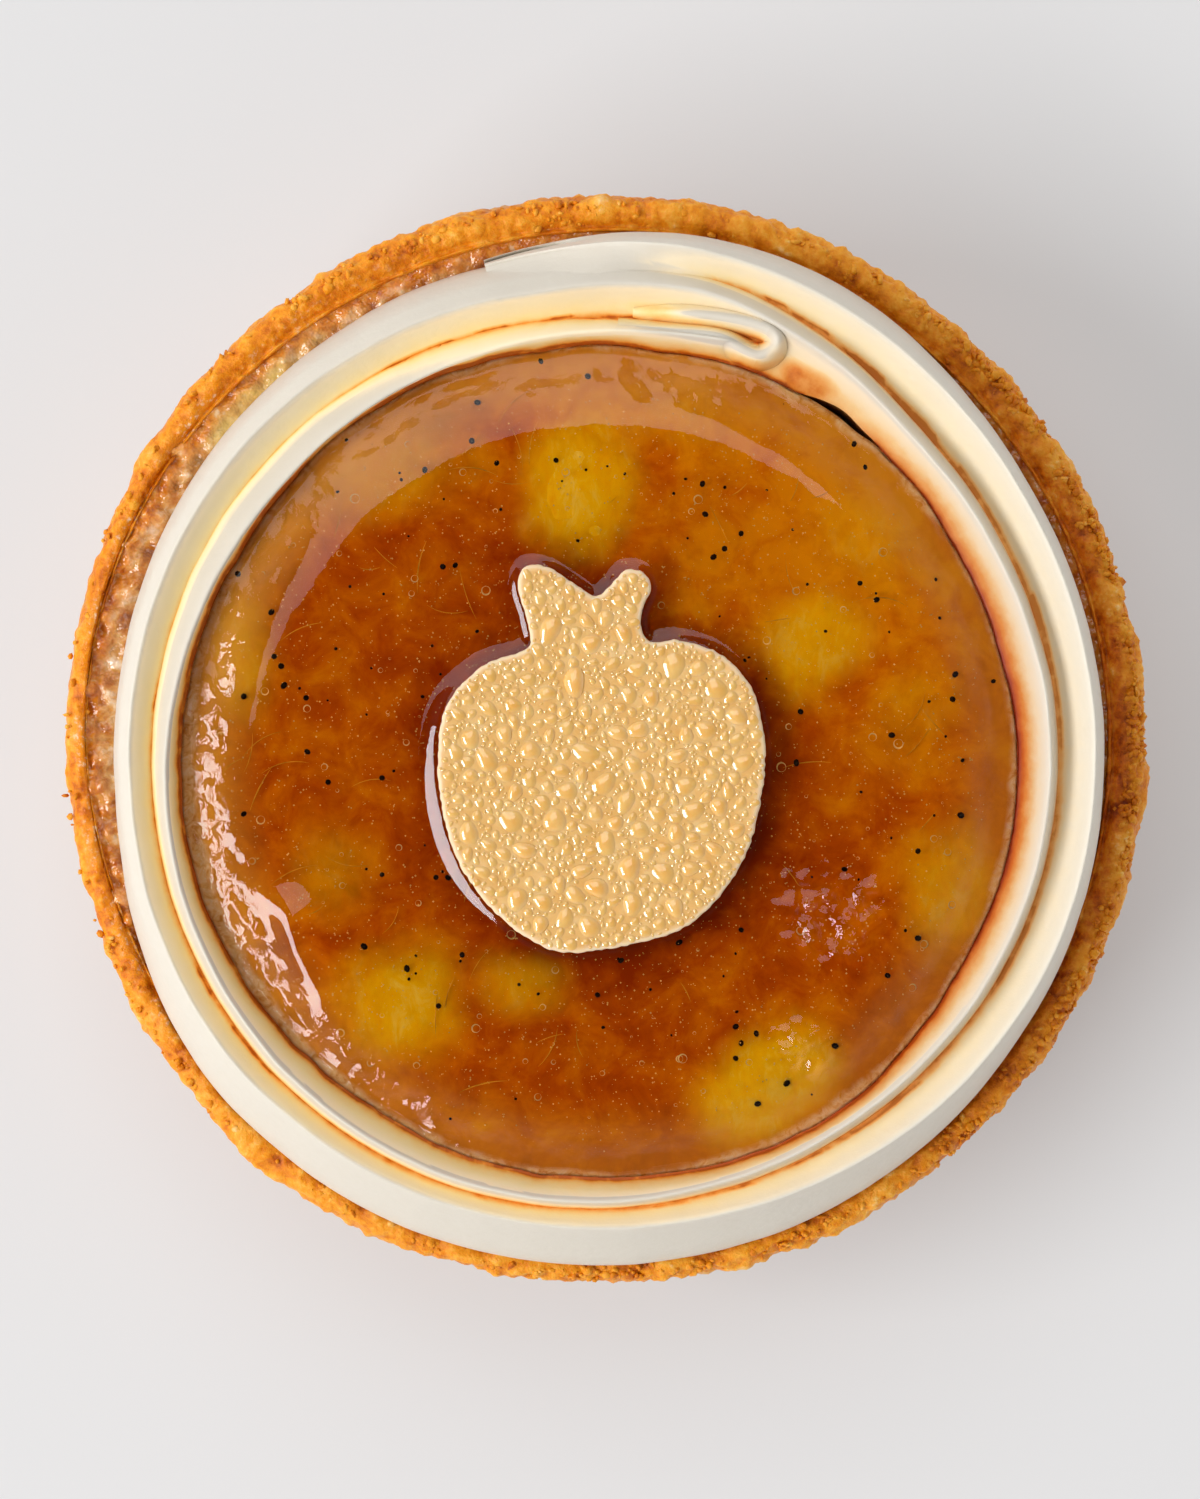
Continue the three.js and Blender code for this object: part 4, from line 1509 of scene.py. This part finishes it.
def bead_places():
    """Water beads as [x, y, radius]: the solid's own first, then smaller and smaller ones."""
    outline = plaque_outline(200)
    half_x, half_y = BEAD_FIELD
    beads = np.zeros((0, 3))

    def try_bead(beads, x, y, radius, gap, margin, inset):
        clear = inset > radius + margin
        if clear and np.all(np.hypot(beads[:, 0] - x, beads[:, 1] - y) > beads[:, 2] + radius + gap):
            beads = np.vstack([beads, [x, y, radius]])
        return beads

    draws = np.arange(1, 6000)
    tries = np.column_stack([
        mix(-half_x, half_x, chance(draws * 3.17)),
        mix(-half_y, half_y, chance(draws * 5.91 + 2)),
    ])
    insets = -distance_outside(tries, outline)
    for (x, y), inset in zip(tries, insets):
        if len(beads) < SOLID_BEADS:
            radius = mix(*SOLID_BEAD_RADII, math.sqrt(len(beads) / SOLID_BEADS))
            beads = try_bead(beads, x, y, radius, 0.1, 0.6, inset)
    rng = np.random.default_rng(411)
    for count, smallest, largest in FINER_BEADS:
        tries = np.column_stack([rng.uniform(-half_x, half_x, count), rng.uniform(-half_y, half_y, count)])
        insets = -distance_outside(tries, outline)
        for (x, y), inset in zip(tries, insets):
            if inset > smallest:
                beads = try_bead(beads, x, y, rng.uniform(smallest, largest), -0.02, 0.12, inset)
    return beads


def water_beads():
    points, faces = [], []
    rng = np.random.default_rng(419)
    for x, y, radius in bead_places():
        rings, segments = (6, 20) if radius > 0.4 else (4, 12) if radius > 0.22 else (3, 9)
        contact = math.radians(rng.uniform(28, 42))
        sphere = radius / math.sin(contact)
        stretch = rng.uniform(1.0, 1.22)
        turn = rng.uniform(0, math.pi)
        phase = rng.uniform(0, 6.28, 2)
        base = len(points)
        points.append([x, y, sphere * (1 - math.cos(contact))])
        for i in range(1, rings + 1):
            tilt = contact * i / rings
            for j in range(segments):
                a = 2 * math.pi * j / segments
                wave = 1 + 0.07 * math.sin(2 * a + phase[0]) + 0.06 * math.sin(3 * a + phase[1])
                r = sphere * math.sin(tilt) * wave
                u, v = r * math.cos(a) * stretch, r * math.sin(a) / stretch
                c, s = math.cos(turn), math.sin(turn)
                height = sphere * (math.cos(tilt) - math.cos(contact))
                points.append([x + u * c - v * s, y + u * s + v * c, height])
        points += [[p[0], p[1], -BEAD_SINK] for p in points[-segments:]]
        points.append([x, y, -BEAD_SINK])
        faces += capped_faces(rings + 1, segments, base)
    points = np.array(points) + [*PLAQUE_CENTRE, PLAQUE_TOP]
    mesh = mesh_of("water_beads", points, faces)
    shown(mesh, water_material(), crease=50)


# ---------------------------------------------------------------- stage, light, camera
FLOOR_HALF = 1500.0
FLOOR_GLOW = 0.27


def stage_floor():
    corners = [[x * FLOOR_HALF, y * FLOOR_HALF, 0] for x, y in ((-1, -1), (1, -1), (1, 1), (-1, 1))]
    mesh = mesh_of("floor", corners, [[0, 1, 2, 3]])
    shader = Shader(
        "floor",
        Roughness=0.6,
        Specular_IOR_Level=0.2,
        Emission_Color=(1.0, 0.99, 0.985, 1.0),
        Emission_Strength=FLOOR_GLOW,
    )
    patches = shader.noise(300, detail=1)
    shader.paint(shader.ramp(patches, [(0.3, colour(182, 182, 183)), (0.7, colour(186, 186, 187))]))
    thing = bpy.data.objects.new("floor", mesh)
    bpy.context.scene.collection.objects.link(thing)
    mesh.materials.append(shader.material)


def panel(name, azimuth, elevation, distance, width, height, radiance):
    """A soft rectangular light that looks at the tart. Its radiance is 1 for a white wall in full light."""
    data = bpy.data.lights.new(name, "AREA")
    data.shape = "RECTANGLE"
    data.size = width * MM
    data.size_y = height * MM
    data.energy = radiance * math.pi * data.size * data.size_y
    light = bpy.data.objects.new(name, data)
    a, e = math.radians(azimuth), math.radians(elevation)
    place = np.array([math.cos(a) * math.cos(e), math.sin(a) * math.cos(e), math.sin(e)]) * distance
    light.location = place * MM
    light.rotation_euler = Vector(-place).to_track_quat("-Z", "Y").to_euler()
    bpy.context.scene.collection.objects.link(light)


def lights():
    panel("key", azimuth=199, elevation=44, distance=1900, width=1560, height=450, radiance=13.4)
    panel("sky", azimuth=110, elevation=61, distance=2000, width=1450, height=1450, radiance=1.85)
    world = bpy.data.worlds.new("world")
    world.use_nodes = True
    nodes, links = world.node_tree.nodes, world.node_tree.links
    background = nodes["Background"]
    coordinates = nodes.new("ShaderNodeTexCoord")
    split = nodes.new("ShaderNodeSeparateXYZ")
    ramp = nodes.new("ShaderNodeValToRGB")
    links.new(coordinates.outputs["Generated"], split.inputs["Vector"])
    links.new(split.outputs["Z"], ramp.inputs["Fac"])
    elements = ramp.color_ramp.elements
    elements[0].position, elements[0].color = 0.0, (1.55, 1.55, 1.55, 1)
    elements[1].position, elements[1].color = 0.8, (0.01, 0.01, 0.01, 1)
    links.new(ramp.outputs["Color"], background.inputs["Color"])
    bpy.context.scene.world = world


def camera():
    data = bpy.data.cameras.new("camera")
    data.sensor_fit = "HORIZONTAL"
    data.sensor_width = SENSOR_WIDTH
    data.lens = FOCAL_PIXELS / PHOTO_WIDTH * SENSOR_WIDTH
    data.clip_start = 0.01
    data.clip_end = 20
    thing = bpy.data.objects.new("camera", data)
    thing.location = (CAMERA_PLACE[0] * MM, CAMERA_PLACE[1] * MM, CAMERA_HEIGHT * MM)
    bpy.context.scene.collection.objects.link(thing)
    bpy.context.scene.camera = thing


def build():
    scene = bpy.context.scene
    scene.view_settings.view_transform = "Standard"
    scene.cycles.use_denoising = True
    camera()
    lights()
    stage_floor()
    crust_piece()
    loose_crumbs()
    filling_piece()
    cream_piece()
    jelly_shell()
    jelly_core()
    fruit_chunks()
    vanilla_seeds()
    painted_bubble_rims()
    bubble_sparkle_specks()
    fibres()
    plaque_piece()
    water_beads()


build()
